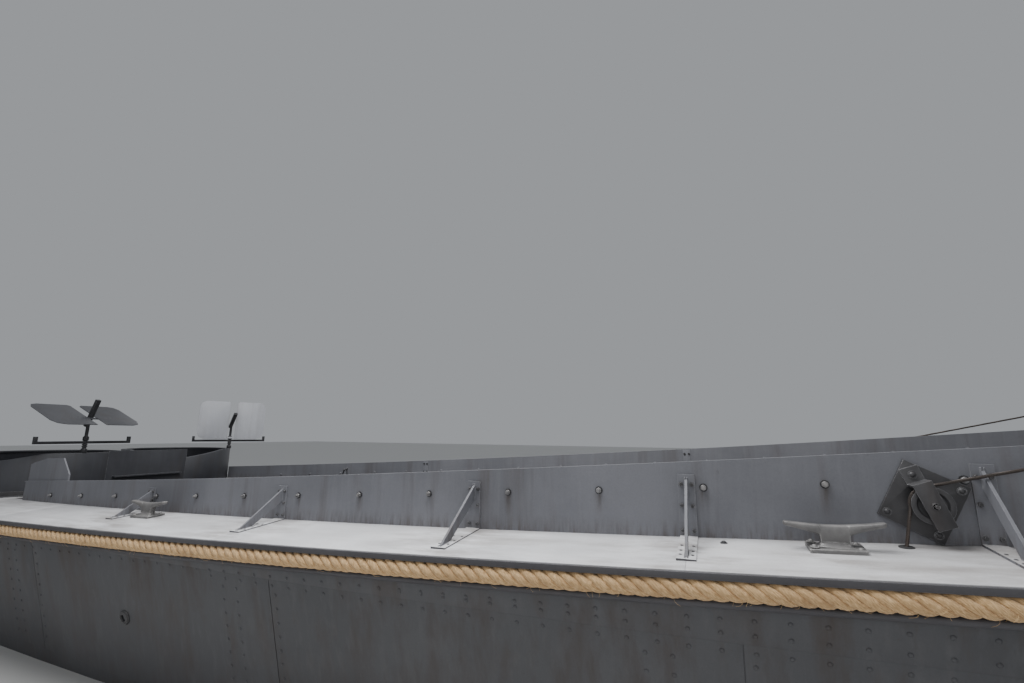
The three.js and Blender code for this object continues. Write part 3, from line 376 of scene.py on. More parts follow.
WEATHERED_PAINT = weathered_paint_group()
DOWN_SIDES = (7.0, 7.0, 0.55)
ALONG_DECK = (0.75, 5.0, 5.0)


def edge_mask(w, radius):
    """White where a rounded normal leaves the true one, which is along edges."""
    rounded = w.node("ShaderNodeBevel", samples=4)
    rounded.inputs["Radius"].default_value = radius
    surface = w.node("ShaderNodeNewGeometry")
    facing = w.node("ShaderNodeVectorMath", operation="DOT_PRODUCT")
    w.feed(facing.inputs[0], rounded.outputs["Normal"])
    w.feed(facing.inputs[1], surface.outputs["Normal"])
    return w.remap(w.math("SUBTRACT", 1.0, facing.outputs["Value"]), 0.01, 0.14)


def painted(name, paint, chalk, grime, patches=0.5, streaks=0.3, chips=0.2, gloss=0.5, patch_size=1.2,
            metallic=0.0, relief=0.0012, bare=None, edge=0.0, stretch=DOWN_SIDES, stain_and_shade=None):
    """A worn painted surface: its colours, and how strongly each layer shows."""
    material = bpy.data.materials.new(name)
    material.use_nodes = True
    w = Wiring(material.node_tree)
    shader = w.tree.nodes["Principled BSDF"]
    coords = w.node("ShaderNodeTexCoord")
    group = w.node("ShaderNodeGroup", node_tree=WEATHERED_PAINT)
    w.feed(group.inputs["Place"], coords.outputs["Object"])
    group.inputs["Stretch"].default_value = stretch
    for label, color in (("Paint", paint), ("Chalk", chalk), ("Grime", grime), ("Bare", bare or chalk)):
        group.inputs[label].default_value = (*color, 1)
    for label, value in (("Patch size", patch_size), ("Patches", patches), ("Streaks", streaks),
                         ("Chips", chips), ("Gloss", gloss)):
        group.inputs[label].default_value = value
    if edge:
        w.feed(group.inputs["Edge"], edge_mask(w, edge))
    if stain_and_shade:
        w.feed(group.inputs["Stain and shade"], stain_and_shade(w, coords.outputs["Object"]))
    w.feed(shader.inputs["Base Color"], group.outputs["Color"])
    w.feed(shader.inputs["Roughness"], group.outputs["Roughness"])
    shader.inputs["Metallic"].default_value = metallic
    bump = w.node("ShaderNodeBump")
    bump.inputs["Strength"].default_value = 0.6
    bump.inputs["Distance"].default_value = relief
    w.feed(bump.inputs["Height"], group.outputs["Height"])
    w.feed(shader.inputs["Normal"], bump.outputs["Normal"])
    return material


# %% [markdown]
# Dirt gathers in known places, so three masks are worked out from the same hull lines. Rust weeps
# down from each coaming bolt, dirt lies along the foot of the coaming, and the deck is trodden
# brown round the stays and cleats. The deck's mask also paints shade towards both ends of the
# deck, which lie dimmer under the light.

# %% Places of bolts, stays and cleats, and the masks of stains and painted shade
BOLT_PITCH = 0.437
BOLT_START = 0.008
BOLT_DROP = 0.108
STAYS = [
    {"at": 1.736, "drop": 0.052, "reach": 0.243},
    {"at": 2.945, "drop": 0.052, "reach": 0.298},
    {"at": 4.199, "drop": 0.052, "reach": 0.338},
    {"at": 5.185, "drop": 0.052, "reach": 0.314},
    {"at": 6.172, "drop": 0.055, "reach": 0.258},
    {"at": 7.110, "drop": 0.052, "reach": 0.290},
    {"at": 8.070, "drop": 0.052, "reach": 0.290},
]
CLEATS = {"aft": {"at": 1.925, "offset": 0.125}, "forward": {"at": 5.682, "offset": 0.108}}


def metres_forward(w, x):
    return w.math("SUBTRACT", x, COAMING_AFT)


def coaming_stain(w, place):
    x, _, z = w.axes(place)[0:3]
    s = metres_forward(w, x)
    count = w.product(w.math("SUBTRACT", s, BOLT_START), 1 / BOLT_PITCH)
    aside = w.product(w.math("ABSOLUTE", w.math("SUBTRACT", count, w.math("ROUND", count))), BOLT_PITCH)
    bolt = w.math("SUBTRACT", w.quadratic(s, *COAMING_LINE), BOLT_DROP)
    fall = w.math("SUBTRACT", bolt, z)
    breakup = w.noise(w.stretch(place, (20.0, 20.0, 3.0)), 3.0, 4.0, 0.6)
    weep = w.product(w.remap(aside, 0.004, 0.026, 1.0, 0.0), w.remap(fall, 0.0, 0.015),
                     w.remap(fall, 0.02, 0.12, 1.0, 0.0), w.remap(breakup, 0.35, 0.6), 0.55)
    height = w.math("SUBTRACT", z, w.quadratic(s, *DECK_LINE))
    foot = w.product(w.remap(height, 0.0, 0.075, 1.0, 0.0), w.remap(breakup, 0.42, 0.66), 0.6)
    return w.math("MAXIMUM", weep, foot)


def deck_dirt_and_shade(w, place):
    s = metres_forward(w, w.axes(place)[0])
    fittings = [row["at"] for row in STAYS] + [row["at"] for row in CLEATS.values()]
    near = w.math("ABSOLUTE", w.math("SUBTRACT", s, fittings[0]))
    for at in fittings[1:]:
        near = w.math("MINIMUM", near, w.math("ABSOLUTE", w.math("SUBTRACT", s, at)))
    cloud = w.noise(w.stretch(place, (1.6, 5.0, 5.0)), 2.2, 6.0, 0.66)
    trodden = w.product(w.remap(near, 0.02, 0.42, 1.0, 0.15), w.remap(cloud, 0.42, 0.62), 0.62)
    # Painted shade: far and aft darken the deck towards its forward and aft ends, which lie dimmer under the
    # light; the cloud breaks it up like dirt.
    far = w.product(w.remap(s, 4.6, 6.6), w.remap(cloud, 0.34, 0.64, 0.25, 1.0), 0.78)
    aft = w.product(w.remap(s, 1.8, -0.8), w.remap(cloud, 0.34, 0.64, 0.25, 1.0), 0.70)
    return w.math("MAXIMUM", w.math("MAXIMUM", trodden, far), aft)


def hull_stain(w, place):
    cloud = w.noise(w.stretch(place, (5.0, 5.0, 0.5)), 1.5, 6.0, 0.66)
    upper = w.remap(w.axes(place)[2], 0.1, 0.85, 0.35, 1.0)
    return w.product(w.remap(cloud, 0.48, 0.74), upper, 0.75)


# %% [markdown]
# The paints were tuned until plain areas of the render had about the mean tone that they have in
# the photograph: worn pale decks, a mid blue-grey coaming, a darker hull with brown stains, darker
# tubs whose paint also carries painted shade, and a lighter port shield. The starboard shield takes
# the tubs' dark paint as painted shade.

# %% Paint materials
BROWN_GRIME = (0.060, 0.043, 0.032)
BARE_STEEL = (0.34, 0.34, 0.35)

HULL_PAINT = painted("hull_side_paint", (0.056, 0.057, 0.063), (0.105, 0.106, 0.113),
                     (0.052, 0.036, 0.028),
                     patches=0.60, streaks=0.55, chips=0.30, gloss=0.42, patch_size=0.9, stain_and_shade=hull_stain)
BOTTOM_PAINT = painted("bottom_paint", (0.070, 0.058, 0.055), (0.12, 0.11, 0.10), (0.03, 0.03, 0.025),
                       patches=0.5, streaks=0.2, chips=0.3, gloss=0.6)
# Its grime colour paints both trodden dirt and the painted shade at the deck's ends.
DECK_PAINT = painted("deck_plate_paint", (0.50, 0.505, 0.52), (0.66, 0.665, 0.68), (0.17, 0.145, 0.128),
                     patches=0.75, streaks=0.42, chips=0.25, gloss=0.42, patch_size=1.9,
                     stretch=ALONG_DECK, stain_and_shade=deck_dirt_and_shade)
EDGE_PAINT_AND_SHADE = painted("deck_edge_paint_and_shade", (0.052, 0.050, 0.056), (0.100, 0.098, 0.106), BROWN_GRIME,
                     patches=0.6, streaks=0.3, chips=0.4, gloss=0.5, bare=(0.20, 0.20, 0.21), edge=0.0025,
                     stretch=ALONG_DECK)
PLATE_PAINT = painted("coaming_paint", (0.122, 0.125, 0.140), (0.185, 0.188, 0.207), BROWN_GRIME,
                      patches=0.65, streaks=0.42, chips=0.25, gloss=0.52, patch_size=1.5,
                      bare=(0.26, 0.26, 0.27), edge=0.003, stain_and_shade=coaming_stain)
# Much darker than the coaming's paint, so that it also paints the shade that the tubs' walls stand in.
TUB_PAINT_AND_SHADE = painted("tub_paint_and_shade", (0.030, 0.031, 0.037), (0.058, 0.060, 0.068), (0.030, 0.024, 0.020),
                    patches=0.65, streaks=0.50, chips=0.3, gloss=0.42, patch_size=1.8,
                    bare=(0.20, 0.20, 0.21), edge=0.004)
SHIELD_PAINT = painted("shield_paint", (0.42, 0.43, 0.46), (0.52, 0.53, 0.56), (0.15, 0.13, 0.11),
                       patches=0.6, streaks=0.25, chips=0.35, gloss=0.42, patch_size=3.0,
                       bare=(0.50, 0.50, 0.51), edge=0.003)
FITTING_PAINT = painted("fitting_paint", (0.040, 0.039, 0.041), (0.080, 0.079, 0.083),
                        (0.055, 0.034, 0.022),
                        patches=0.7, streaks=0.25, chips=0.5, gloss=0.38, patch_size=6.0, metallic=0.2,
                        bare=BARE_STEEL, edge=0.0025)
CLEAT_PAINT = painted("cleat_paint", (0.115, 0.112, 0.112), (0.21, 0.205, 0.20), (0.07, 0.048, 0.034),
                      patches=0.8, streaks=0.2, chips=0.8, gloss=0.34, patch_size=9.0, metallic=0.25,
                      bare=(0.44, 0.43, 0.42), edge=0.008)
BOLT_STEEL = painted("worn_bolt_steel", (0.17, 0.168, 0.172), (0.34, 0.335, 0.33), (0.14, 0.085, 0.05),
                     patches=0.8, streaks=0.2, chips=0.9, gloss=0.30, patch_size=20.0, metallic=0.5)
DARK_PAINT = painted("dark_steel_paint", (0.024, 0.024, 0.027), (0.055, 0.055, 0.058),
                     (0.05, 0.03, 0.02),
                     patches=0.6, streaks=0.1, chips=0.6, gloss=0.36, patch_size=8.0, metallic=0.3,
                     bare=(0.24, 0.24, 0.25), edge=0.002)
WELL_PAINT = painted("well_paint", (0.155, 0.16, 0.172), (0.21, 0.215, 0.225), BROWN_GRIME,
                     patches=0.6, streaks=0.45, chips=0.3, gloss=0.48, patch_size=1.8,
                     bare=(0.34, 0.33, 0.31), edge=0.003)
ENGINE_PAINT = painted("engine_paint", (0.095, 0.130, 0.085), (0.14, 0.17, 0.13), (0.03, 0.025, 0.02),
                       patches=0.5, streaks=0.3, chips=0.5, gloss=0.35, patch_size=4.0)
BRONZE = painted("bronze", (0.36, 0.235, 0.10), (0.20, 0.26, 0.20), (0.09, 0.06, 0.03),
                 patches=0.5, streaks=0.1, chips=0.3, gloss=0.28, patch_size=7.0, metallic=0.85)
VENT_PAINT = painted("vent_paint", (0.50, 0.50, 0.49), (0.60, 0.60, 0.59), (0.18, 0.15, 0.12),
                     patches=0.5, streaks=0.3, chips=0.4, gloss=0.4, patch_size=7.0)
RUBBER = painted("black_rubber", (0.018, 0.018, 0.019), (0.045, 0.045, 0.046), (0.03, 0.025, 0.02),
                 patches=0.6, streaks=0.2, chips=0.2, gloss=0.6, patch_size=9.0)
LOOSE_FIBRE = painted("loose_fibre", (0.52, 0.34, 0.16), (0.66, 0.47, 0.25), (0.30, 0.18, 0.08),
                      patches=0.8, streaks=0.2, chips=0.2, gloss=0.7, patch_size=30.0)

# %% [markdown]
# Three finishes follow other rules. The rope's fibres run along its strands, so its pattern reads
# the rope's own UV map. Bare boards have grain along the boat. Wire rope is dark, rusty steel.

# %% Rope, wire and board materials
def fibre_material(name, light, dark, soil, along, across_count, roughness, relief, metallic=0.0,
                   sheen=0.0):
    """Fine lines that run along a strand: u runs along it and v round it."""
    material = bpy.data.materials.new(name)
    material.use_nodes = True
    w = Wiring(material.node_tree)
    shader = w.tree.nodes["Principled BSDF"]
    uv = w.node("ShaderNodeUVMap", uv_map="strand")
    coords = w.node("ShaderNodeTexCoord")
    yarns = w.noise(w.stretch(uv.outputs["UV"], (along, across_count, 1.0)), 1.0, 5.0, 0.65, 0.4)
    hairs = w.noise(w.stretch(uv.outputs["UV"], (along * 2.2, across_count * 3.1, 1.0)), 1.0, 3.0, 0.7)
    patches = w.noise(coords.outputs["Object"], 5.0, 5.0, 0.65)
    tone = w.mix(w.remap(yarns, 0.32, 0.66), (*dark, 1), (*light, 1))
    lined = w.mix(w.remap(hairs, 0.55, 0.75, 0.0, 0.45), tone, (*dark, 1))
    soiled = w.mix(w.remap(patches, 0.50, 0.74, 0.0, 0.6), lined, (*soil, 1))
    w.feed(shader.inputs["Base Color"], soiled)
    shader.inputs["Roughness"].default_value = roughness
    shader.inputs["Metallic"].default_value = metallic
    shader.inputs["Sheen Weight"].default_value = sheen
    bump = w.node("ShaderNodeBump")
    bump.inputs["Strength"].default_value = 0.8
    bump.inputs["Distance"].default_value = relief
    w.feed(bump.inputs["Height"], w.total(w.product(hairs, 0.5), yarns))
    w.feed(shader.inputs["Normal"], bump.outputs["Normal"])
    return material


ROPE_FIBRE = fibre_material("manila_fibre", (0.80, 0.56, 0.30), (0.36, 0.20, 0.080), (0.34, 0.20, 0.095),
                            9.0, 30.0, 0.88, 0.0020, sheen=0.15)
WIRE_STEEL = fibre_material("rusty_wire", (0.105, 0.088, 0.078), (0.038, 0.032, 0.030),
                            (0.075, 0.048, 0.034), 30.0, 9.0, 0.5, 0.0006, metallic=0.6)


def board_material(name, light, dark):
    material = bpy.data.materials.new(name)
    material.use_nodes = True
    w = Wiring(material.node_tree)
    shader = w.tree.nodes["Principled BSDF"]
    coords = w.node("ShaderNodeTexCoord")
    grain = w.noise(w.stretch(coords.outputs["Object"], (1.2, 26.0, 8.0)), 2.0, 7.0, 0.65, 0.6)
    broad = w.noise(coords.outputs["Object"], 1.6, 4.0, 0.6)
    tone = w.mix(w.remap(grain, 0.32, 0.68), (*dark, 1), (*light, 1))
    trodden = w.mix(w.remap(broad, 0.45, 0.7, 0.0, 0.5), tone, (*dark, 1))
    w.feed(shader.inputs["Base Color"], trodden)
    shader.inputs["Roughness"].default_value = 0.72
    bump = w.node("ShaderNodeBump")
    bump.inputs["Strength"].default_value = 0.5
    bump.inputs["Distance"].default_value = 0.002
    w.feed(bump.inputs["Height"], grain)
    w.feed(shader.inputs["Normal"], bump.outputs["Normal"])
    return material


BOARDS = board_material("grey_boards", (0.25, 0.22, 0.18), (0.105, 0.09, 0.074))
print("materials", len(bpy.data.materials))

# %% [markdown]
# A few helpers carry the modelling. Each makes or finishes a mesh the way it would be done by
# hand: add a primitive, shape it, apply its modifiers, and leave the object at the origin.

# %% Modelling helpers
def only(piece):
    """Selects one piece and makes it active."""
    bpy.ops.object.select_all(action="DESELECT")
    piece.select_set(True)
    bpy.context.view_layer.objects.active = piece


def apply_place(piece):
    only(piece)
    bpy.ops.object.transform_apply(location=True, rotation=True, scale=True)
    return piece


def apply_modifier(piece, kind, **settings):
    only(piece)
    modifier = piece.modifiers.new(kind.lower(), kind)
    for key, value in settings.items():
        setattr(modifier, key, value)
    bpy.ops.object.modifier_apply(modifier=modifier.name)


def edit(piece, *steps):
    """Runs edit mode operators on the whole mesh."""
    only(piece)
    bpy.ops.object.mode_set(mode="EDIT")
    bpy.ops.mesh.select_all(action="SELECT")
    for step in steps:
        step()
    bpy.ops.object.mode_set(mode="OBJECT")


def outward(piece):
    edit(piece, lambda: bpy.ops.mesh.remove_doubles(threshold=1e-5),
         lambda: bpy.ops.mesh.normals_make_consistent(inside=False))


def smooth(piece, angle=35):
    only(piece)
    bpy.ops.object.shade_smooth_by_angle(angle=radians(angle))
    return piece


def bevel(piece, width, segments=2, angle=30):
    apply_modifier(piece, "BEVEL", width=width, segments=segments, limit_method="ANGLE",
                   angle_limit=radians(angle), miter_outer="MITER_ARC", harden_normals=False)
    return piece


def hand_over(piece, name, material, body="hull", replaces=()):
    """Names a finished piece, gives it its material and lets it ride on its body."""
    piece.name = name
    piece.data.name = name
    piece.data.materials.clear()
    piece.data.materials.append(material)
    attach(piece, body)
    if replaces:
        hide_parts(*replaces)
    return piece


def repaint(piece, material, chosen):
    """Gives the faces that chosen(centre, normal) picks a further material."""
    piece.data.materials.append(material)
    number = len(piece.data.materials) - 1
    for face in piece.data.polygons:
        if chosen(face.center, face.normal):
            face.material_index = number
    return piece


def block(low, high, edge=0.0):
    """A box between two corners, with its place in its mesh."""
    low, high = Vector(low), Vector(high)
    bpy.ops.mesh.primitive_cube_add(size=1, location=(low + high) / 2)
    piece = bpy.context.object
    piece.scale = high - low
    apply_place(piece)
    if edge:
        bevel(piece, edge, 2)
    return smooth(piece)


def rod(start, end, radius, sides=20):
    start, end = Vector(start), Vector(end)
    axis = end - start
    bpy.ops.mesh.primitive_cylinder_add(vertices=sides, radius=radius, depth=axis.length,
                                        location=(start + end) / 2)
    piece = bpy.context.object
    piece.rotation_euler = axis.to_track_quat("Z", "Y").to_euler()
    return smooth(apply_place(piece))


def merge(pieces):
    """Joins several pieces into the first."""
    only(pieces[0])
    for piece in pieces:
        piece.select_set(True)
    bpy.ops.object.join()
    return pieces[0]


def curved_sheet(across_count, along_count, point):
    """A grid whose points are carried to point(u, v), both from 0 to 1."""
    bpy.ops.mesh.primitive_grid_add(x_subdivisions=along_count, y_subdivisions=across_count, size=2)
    piece = bpy.context.object
    for vertex in piece.data.vertices:
        vertex.co = point((vertex.co.x + 1) / 2, (vertex.co.y + 1) / 2)
    return piece


def plate(along_count, point, thickness, across_count=1, edge=0.0):
    """A curved sheet with thickness behind the face that point(u, v) gives."""
    piece = curved_sheet(across_count, along_count, point)
    apply_modifier(piece, "SOLIDIFY", thickness=thickness, offset=-1)
    outward(piece)
    if edge:
        bevel(piece, edge, 2, 40)
    return smooth(piece)


def rolled(along_count, around_count, point, closed=False, uv=None):
    """A grid rolled into a tube: u runs along it and v round it. Its ends are filled unless it
    closes on itself."""
    piece = curved_sheet(around_count, along_count, point)
    if uv:
        layer = piece.data.uv_layers.active
        layer.name = "strand"
        for loop in layer.data:
            loop.uv = (loop.uv.x * uv[0], loop.uv.y * uv[1])
    edit(piece, lambda: bpy.ops.mesh.remove_doubles(threshold=1e-5))
    if not closed:
        edit(piece, lambda: bpy.ops.mesh.select_all(action="DESELECT"),
             lambda: bpy.ops.mesh.select_non_manifold(extend=False),
             lambda: bpy.ops.mesh.edge_face_add())
    edit(piece, lambda: bpy.ops.mesh.normals_make_consistent(inside=False))
    return smooth(piece, 40)


def turned(profile, centre, axis, sides=32):
    """A turned piece from (radius, height) points along an axis; it starts and ends on the axis or
    closes on itself."""
    profile = list(profile)
    lift = Vector(axis).to_track_quat("Z", "Y")
    centre = Vector(centre)

    def point(u, v):
        radius, height = profile[round(u * (len(profile) - 1))]
        angle = 2 * pi * v
        return centre + lift @ Vector((radius * cos(angle), radius * sin(angle), height))

    return rolled(len(profile) - 1, sides, point, closed=True)


def wire(path, radius, sides=8, uv=None):
    """A round bar or wire along a list of points."""
    path = [Vector(p) for p in path]
    frames = []
    aside = None
    for i, p in enumerate(path):
        heading = (path[min(i + 1, len(path) - 1)] - path[max(i - 1, 0)]).normalized()
        if aside is None:
            aside = heading.orthogonal()
        aside = (aside - aside.dot(heading) * heading).normalized()
        frames.append((p, aside, heading.cross(aside)))

    def point(u, v):
        p, a, b = frames[round(u * (len(path) - 1))]
        angle = 2 * pi * v
        return p + radius * (cos(angle) * a + sin(angle) * b)

    return rolled(len(path) - 1, sides, point, uv=uv)


def slab(outline, depth):
    """A flat outline of points in space, filled and extruded by a vector."""
    extrusion = {"value": tuple(depth)}
    bpy.ops.mesh.primitive_circle_add(vertices=len(outline), radius=1, fill_type="NGON")
    piece = bpy.context.object
    for vertex, point in zip(piece.data.vertices, outline):
        vertex.co = point
    edit(piece, lambda: bpy.ops.mesh.extrude_region_move(TRANSFORM_OT_translate=extrusion),
         lambda: bpy.ops.mesh.select_all(action="SELECT"),
         lambda: bpy.ops.mesh.normals_make_consistent(inside=False))
    return piece


def body_of(node):
    bodies = frame["record"]["behaviour"]["bodies"]
    return next(name for name, members in bodies.items() if node in members)


def dressed(node, material, edge=0.002, segments=2, crease=30, smoothing=32):
    """A refined copy of a CAD node: triangles merged into faces, edges rounded."""
    only(frame["nodes"][node])
    bpy.ops.object.duplicate()
    piece = bpy.context.object
    piece.parent = None
    for key in list(piece.keys()):
        if key.startswith("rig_"):
            del piece[key]
    edit(piece, lambda: bpy.ops.mesh.remove_doubles(threshold=2e-5),
         lambda: bpy.ops.mesh.dissolve_limited(angle_limit=radians(0.2)))
    if edge:
        bevel(piece, edge, segments, crease)
    smooth(piece, smoothing)
    return hand_over(piece, node + "_skin", material, body_of(node), (node,))


def stand_on(place, normal, along=(1, 0, 0)):
    """A matrix that stands a small piece on a surface: its Z is the surface's normal."""
    z = Vector(normal).normalized()
    x = (Vector(along) - Vector(along).dot(z) * z).normalized()
    y = z.cross(x)
    turn = Matrix((x, y, z)).transposed().to_4x4()
    return Matrix.Translation(Vector(place)) @ turn


def repeated(template, places):
    """One mesh that holds a copy of the template at every place."""
    source = template.data
    points = np.array([v.co for v in source.vertices])
    faces = [tuple(face.vertices) for face in source.polygons]
    all_points = []
    all_faces = []
    for number, place in enumerate(places):
        grid = np.array(place)
        all_points.append(points @ grid[:3, :3].T + grid[:3, 3])
        offset = number * len(points)
        all_faces.extend([tuple(i + offset for i in face) for face in faces])
    mesh = bpy.data.meshes.new("repeated")
    mesh.from_pydata(np.concatenate(all_points).tolist(), [], all_faces)
    piece = bpy.data.objects.new("repeated", mesh)
    bpy.context.scene.collection.objects.link(piece)
    return smooth(piece, 40)


# %% [markdown]
# Fasteners are modelled once, small and light, and copied to their places: a low domed rivet, a
# through bolt with its nut and proud end on a washer, a round head, a hexagon nut and a flat
# screw. A weld is a row of small overlapping domes, as the welder's bead lies.

# %% Fastener templates
def dome(radius, height, sides=8, rings=3):
    profile = [(0, 0), (radius, 0)]
    for i in range(1, rings):
        angle = pi / 2 * i / rings
        profile.append((radius * cos(angle), height * sin(angle)))
    profile.append((0, height))
    return turned(profile, (0, 0, 0), (0, 0, 1), sides)


def washer(radius, thickness, sides=16):
    section = [(0, 0), (radius, 0), (radius, thickness), (0, thickness)]
    return turned(section, (0, 0, 0), (0, 0, 1), sides)


def raised(piece, height):
    piece.location.z = height
    return apply_place(piece)


def hex_nut(radius, height):
    nut = rod((0, 0, 0), (0, 0, height), radius, 6)
    return bevel(nut, radius * 0.12, 1)


NUT_RAISE = 0.0026
RIVET = dome(0.0088, 0.0042)
WASHER = washer(0.0170, 0.0028)
THROUGH_BOLT = merge([raised(hex_nut(0.0128, 0.010), NUT_RAISE),
                      raised(rod((0, 0, 0), (0, 0, 0.012), 0.0066, 10), 0.0120)])
ROUND_BOLT = merge([washer(0.0145, 0.0028), raised(dome(0.0105, 0.0085, 12), 0.0025)])
SMALL_HEX = merge([washer(0.0095, 0.0018, 12), raised(hex_nut(0.0078, 0.0062), 0.0016)])
FLAT_SCREW = washer(0.0058, 0.0016, 10)
WELD_DROP = dome(0.0042, 0.0030, 6, 2)
templates = [RIVET, WASHER, THROUGH_BOLT, ROUND_BOLT, SMALL_HEX, FLAT_SCREW, WELD_DROP]


def fasteners(name, template, places, material, body="hull"):
    return hand_over(repeated(template, places), name, material, body)


WELD_STEP = 0.0045


def weld(start, end, normal):
    """Places for a bead from one point to another."""
    start, end = Vector(start), Vector(end)
    count = max(int((end - start).length / WELD_STEP), 1)
    return [stand_on(start.lerp(end, i / count), normal, end - start) for i in range(count + 1)]


print("templates", len(templates))

# %% [markdown]
# The hull sides are painted panels on frames. Long sheets are laid on the side with a narrow gap
# at each butt, and their lower edges lap over the bilge planking. Under the guard a thicker
# doubling strake starts as a sliver amidships and deepens towards the bow, with a row of rivets
# above and below its seam. Thin curved plates catch the light at the laps as real ones do.

# %% Hull sides, panels and strakes
GUARD_TALL = 0.034
GUARD_OUT = 0.052
GUARD_UNDER = 0.002
GUARD_SEAT = 0.0008
SIDE_START = -1.70
GUARD_END = 8.58
BOW_END = 8.46
PANEL_THICK = 0.0026
STRAKE_THICK = 0.0045
STRAKE_START = 1.62
STRAKE_LEAST = 0.004
PANEL_TUCK = 0.004
BUTTS = [-1.70, 1.12, 3.24, 5.35, 7.42, 8.46]
BUTT_GAP = 0.0035


def guard_foot(x):
    return rope_z(x) - ROPE_RADIUS - GUARD_UNDER - GUARD_TALL


def strake_depth(x):
    """The doubling strake's depth below the guard grows evenly from amidships."""
    return max(STRAKE_LEAST + 0.0316 * (forward(x) - STRAKE_START), STRAKE_LEAST)


def lap_height(x):
    """The panels' lower edge: level with the water, rising with the chine at the bow."""
    s = forward(x)
    return 0.104 - 0.008 * min(max(s, 0), 2) ** 2 + 0.055 * max(s - 6.4, 0)


def side_spot(x, z, side, out=0.0):
    return Vector((x, side * (flare_half(x, z) + out), z))


def along_hull(u, start=SIDE_START, end=BOW_END):
    return station(start + (end - start) * u)


for name, side in SIDES.items():
    piece = dressed(f"side_{name}", HULL_PAINT, edge=0.004)
    repaint(piece, WELL_PAINT, lambda centre, normal: normal.y * side < -0.9)
    panels = []
    for start, end in zip(BUTTS, BUTTS[1:]):
        def panel(u, v, start=start, end=end):
            x = along_hull(u, start + BUTT_GAP / 2, end - BUTT_GAP / 2)
            t = v if side > 0 else 1 - v
            high = guard_foot(x) + PANEL_TUCK
            z = high + (lap_height(x) - high) * t
            return side_spot(x, z, side, PANEL_THICK)
        panels.append(plate(16, panel, PANEL_THICK + 0.0015, across_count=2, edge=0.0008))
    hand_over(merge(panels), f"side_panels_{name}", HULL_PAINT)

    def strake(u, v):
        x = along_hull(u, STRAKE_START)
        t = v if side > 0 else 1 - v
        z = guard_foot(x) + PANEL_TUCK - (strake_depth(x) + PANEL_TUCK) * t
        return side_spot(x, z, side, PANEL_THICK + STRAKE_THICK)
    piece = plate(48, strake, STRAKE_THICK + 0.001, edge=0.0012)
    hand_over(piece, f"doubling_strake_{name}", HULL_PAINT)
print("side butts at", BUTTS)

# %% [markdown]
# Rivets stand in columns: one near the guard and one on each side of the strake's seam. Two
# upright rows run beside each butt, where the panel is fastened to its frame.

# %% Hull rivets
RIVET_PITCH = 0.1065
RIVET_TOP = 0.042
SEAM_MARGIN = 0.031
FRAME_ROWS = [-0.326, -0.230, 0.035]
RIVET_START = 0.060
FRAME_RIVET_PITCH = 0.068
FRAME_RIVET_TOP = 0.075
FRAME_RIVET_FOOT = 0.03
for name, side in SIDES.items():
    flare_angle = atan2(FLARE, 1)
    slope = Vector((0, side * cos(flare_angle), -sin(flare_angle)))
    places = []
    for i in range(int((BOW_END - SIDE_START - RIVET_START) / RIVET_PITCH)):
        x = station(SIDE_START + RIVET_START + RIVET_PITCH * i)
        seam = strake_depth(x)
        rows = [(RIVET_TOP, seam > RIVET_TOP)]
        if seam > RIVET_TOP + SEAM_MARGIN:
            rows.append((seam - SEAM_MARGIN, True))
        if seam > RIVET_TOP:
            rows.append((seam + SEAM_MARGIN, False))
        for drop, on_strake in rows:
            out = PANEL_THICK + (STRAKE_THICK if on_strake else 0)
            places.append(stand_on(side_spot(x, guard_foot(x) - drop, side, out), slope))
    for s in BUTTS[1:-1]:
        for column in FRAME_ROWS:
            x = station(s + column)
            top = guard_foot(x) - strake_depth(x) - FRAME_RIVET_TOP
            count = int((top - lap_height(x) - FRAME_RIVET_FOOT) / FRAME_RIVET_PITCH) + 1
            for i in range(count):
                spot = side_spot(x, top - FRAME_RIVET_PITCH * i, side, PANEL_THICK)
                places.append(stand_on(spot, slope))
    fasteners(f"side_rivets_{name}", RIVET, places, HULL_PAINT)
print("rivets a side", len(places))

# %% [markdown]
# The side decks are pale sheets on planking. The sheets stop short of the edge, so a dark edge
# shows under them all along, and fine seams part them where a stay's foot covers most of the
# joint.

# %% Side decks and aft deck
DECK_SHEET = 0.004
DECK_ENDS = (-0.2, 8.92)
DECK_SEAMS = [-0.2, 0.72, 2.945, 5.185, 7.11, 8.62]
SEAM_GAP = 0.0009
EDGE_MARGIN = 0.004
for name, side in SIDES.items():
    def core(u, v):
        x = along_hull(u, *DECK_ENDS)
        t = v if side > 0 else 1 - v
        y = wall_half(x) + (deck_half(x) - wall_half(x)) * t
        return Vector((x, side * y, deck_at(x, y) - DECK_SHEET))
    under = plate(40, core, PLANK - DECK_SHEET, edge=0.003)
    hand_over(under, f"deck_planking_{name}", EDGE_PAINT_AND_SHADE, replaces=(f"deck_{name}",))
    sheets = []
    for start, end in zip(DECK_SEAMS, DECK_SEAMS[1:]):
        def sheet(u, v, start=start, end=end):
            x = along_hull(u, start + SEAM_GAP / 2, end - SEAM_GAP / 2)
            t = v if side > 0 else 1 - v
            inner, outer = wall_half(x) + 0.002, deck_half(x) - EDGE_MARGIN
            y = inner + (outer - inner) * t
            return Vector((x, side * y, deck_at(x, y)))
        sheets.append(plate(12, sheet, DECK_SHEET, edge=0.0006))
    hand_over(merge(sheets), f"deck_sheets_{name}", DECK_PAINT)

piece = dressed("deck_aft", DECK_PAINT, edge=0.002)
repaint(piece, EDGE_PAINT_AND_SHADE, lambda centre, normal: abs(normal.z) < 0.5)
DECK_BUTTON = {"at": 5.315, "out": 0.068, "sunk": 0.0015}
x = station(DECK_BUTTON["at"])
y = -(coaming_half(x) + DECK_BUTTON["out"])
button = stand_on((x, y, deck_at(x, y) - DECK_BUTTON["sunk"]), (0, -CAMBER, 1))
fasteners("deck_button", ROUND_BOLT, [button], DARK_PAINT)
print("deck seams", len(DECK_SEAMS))

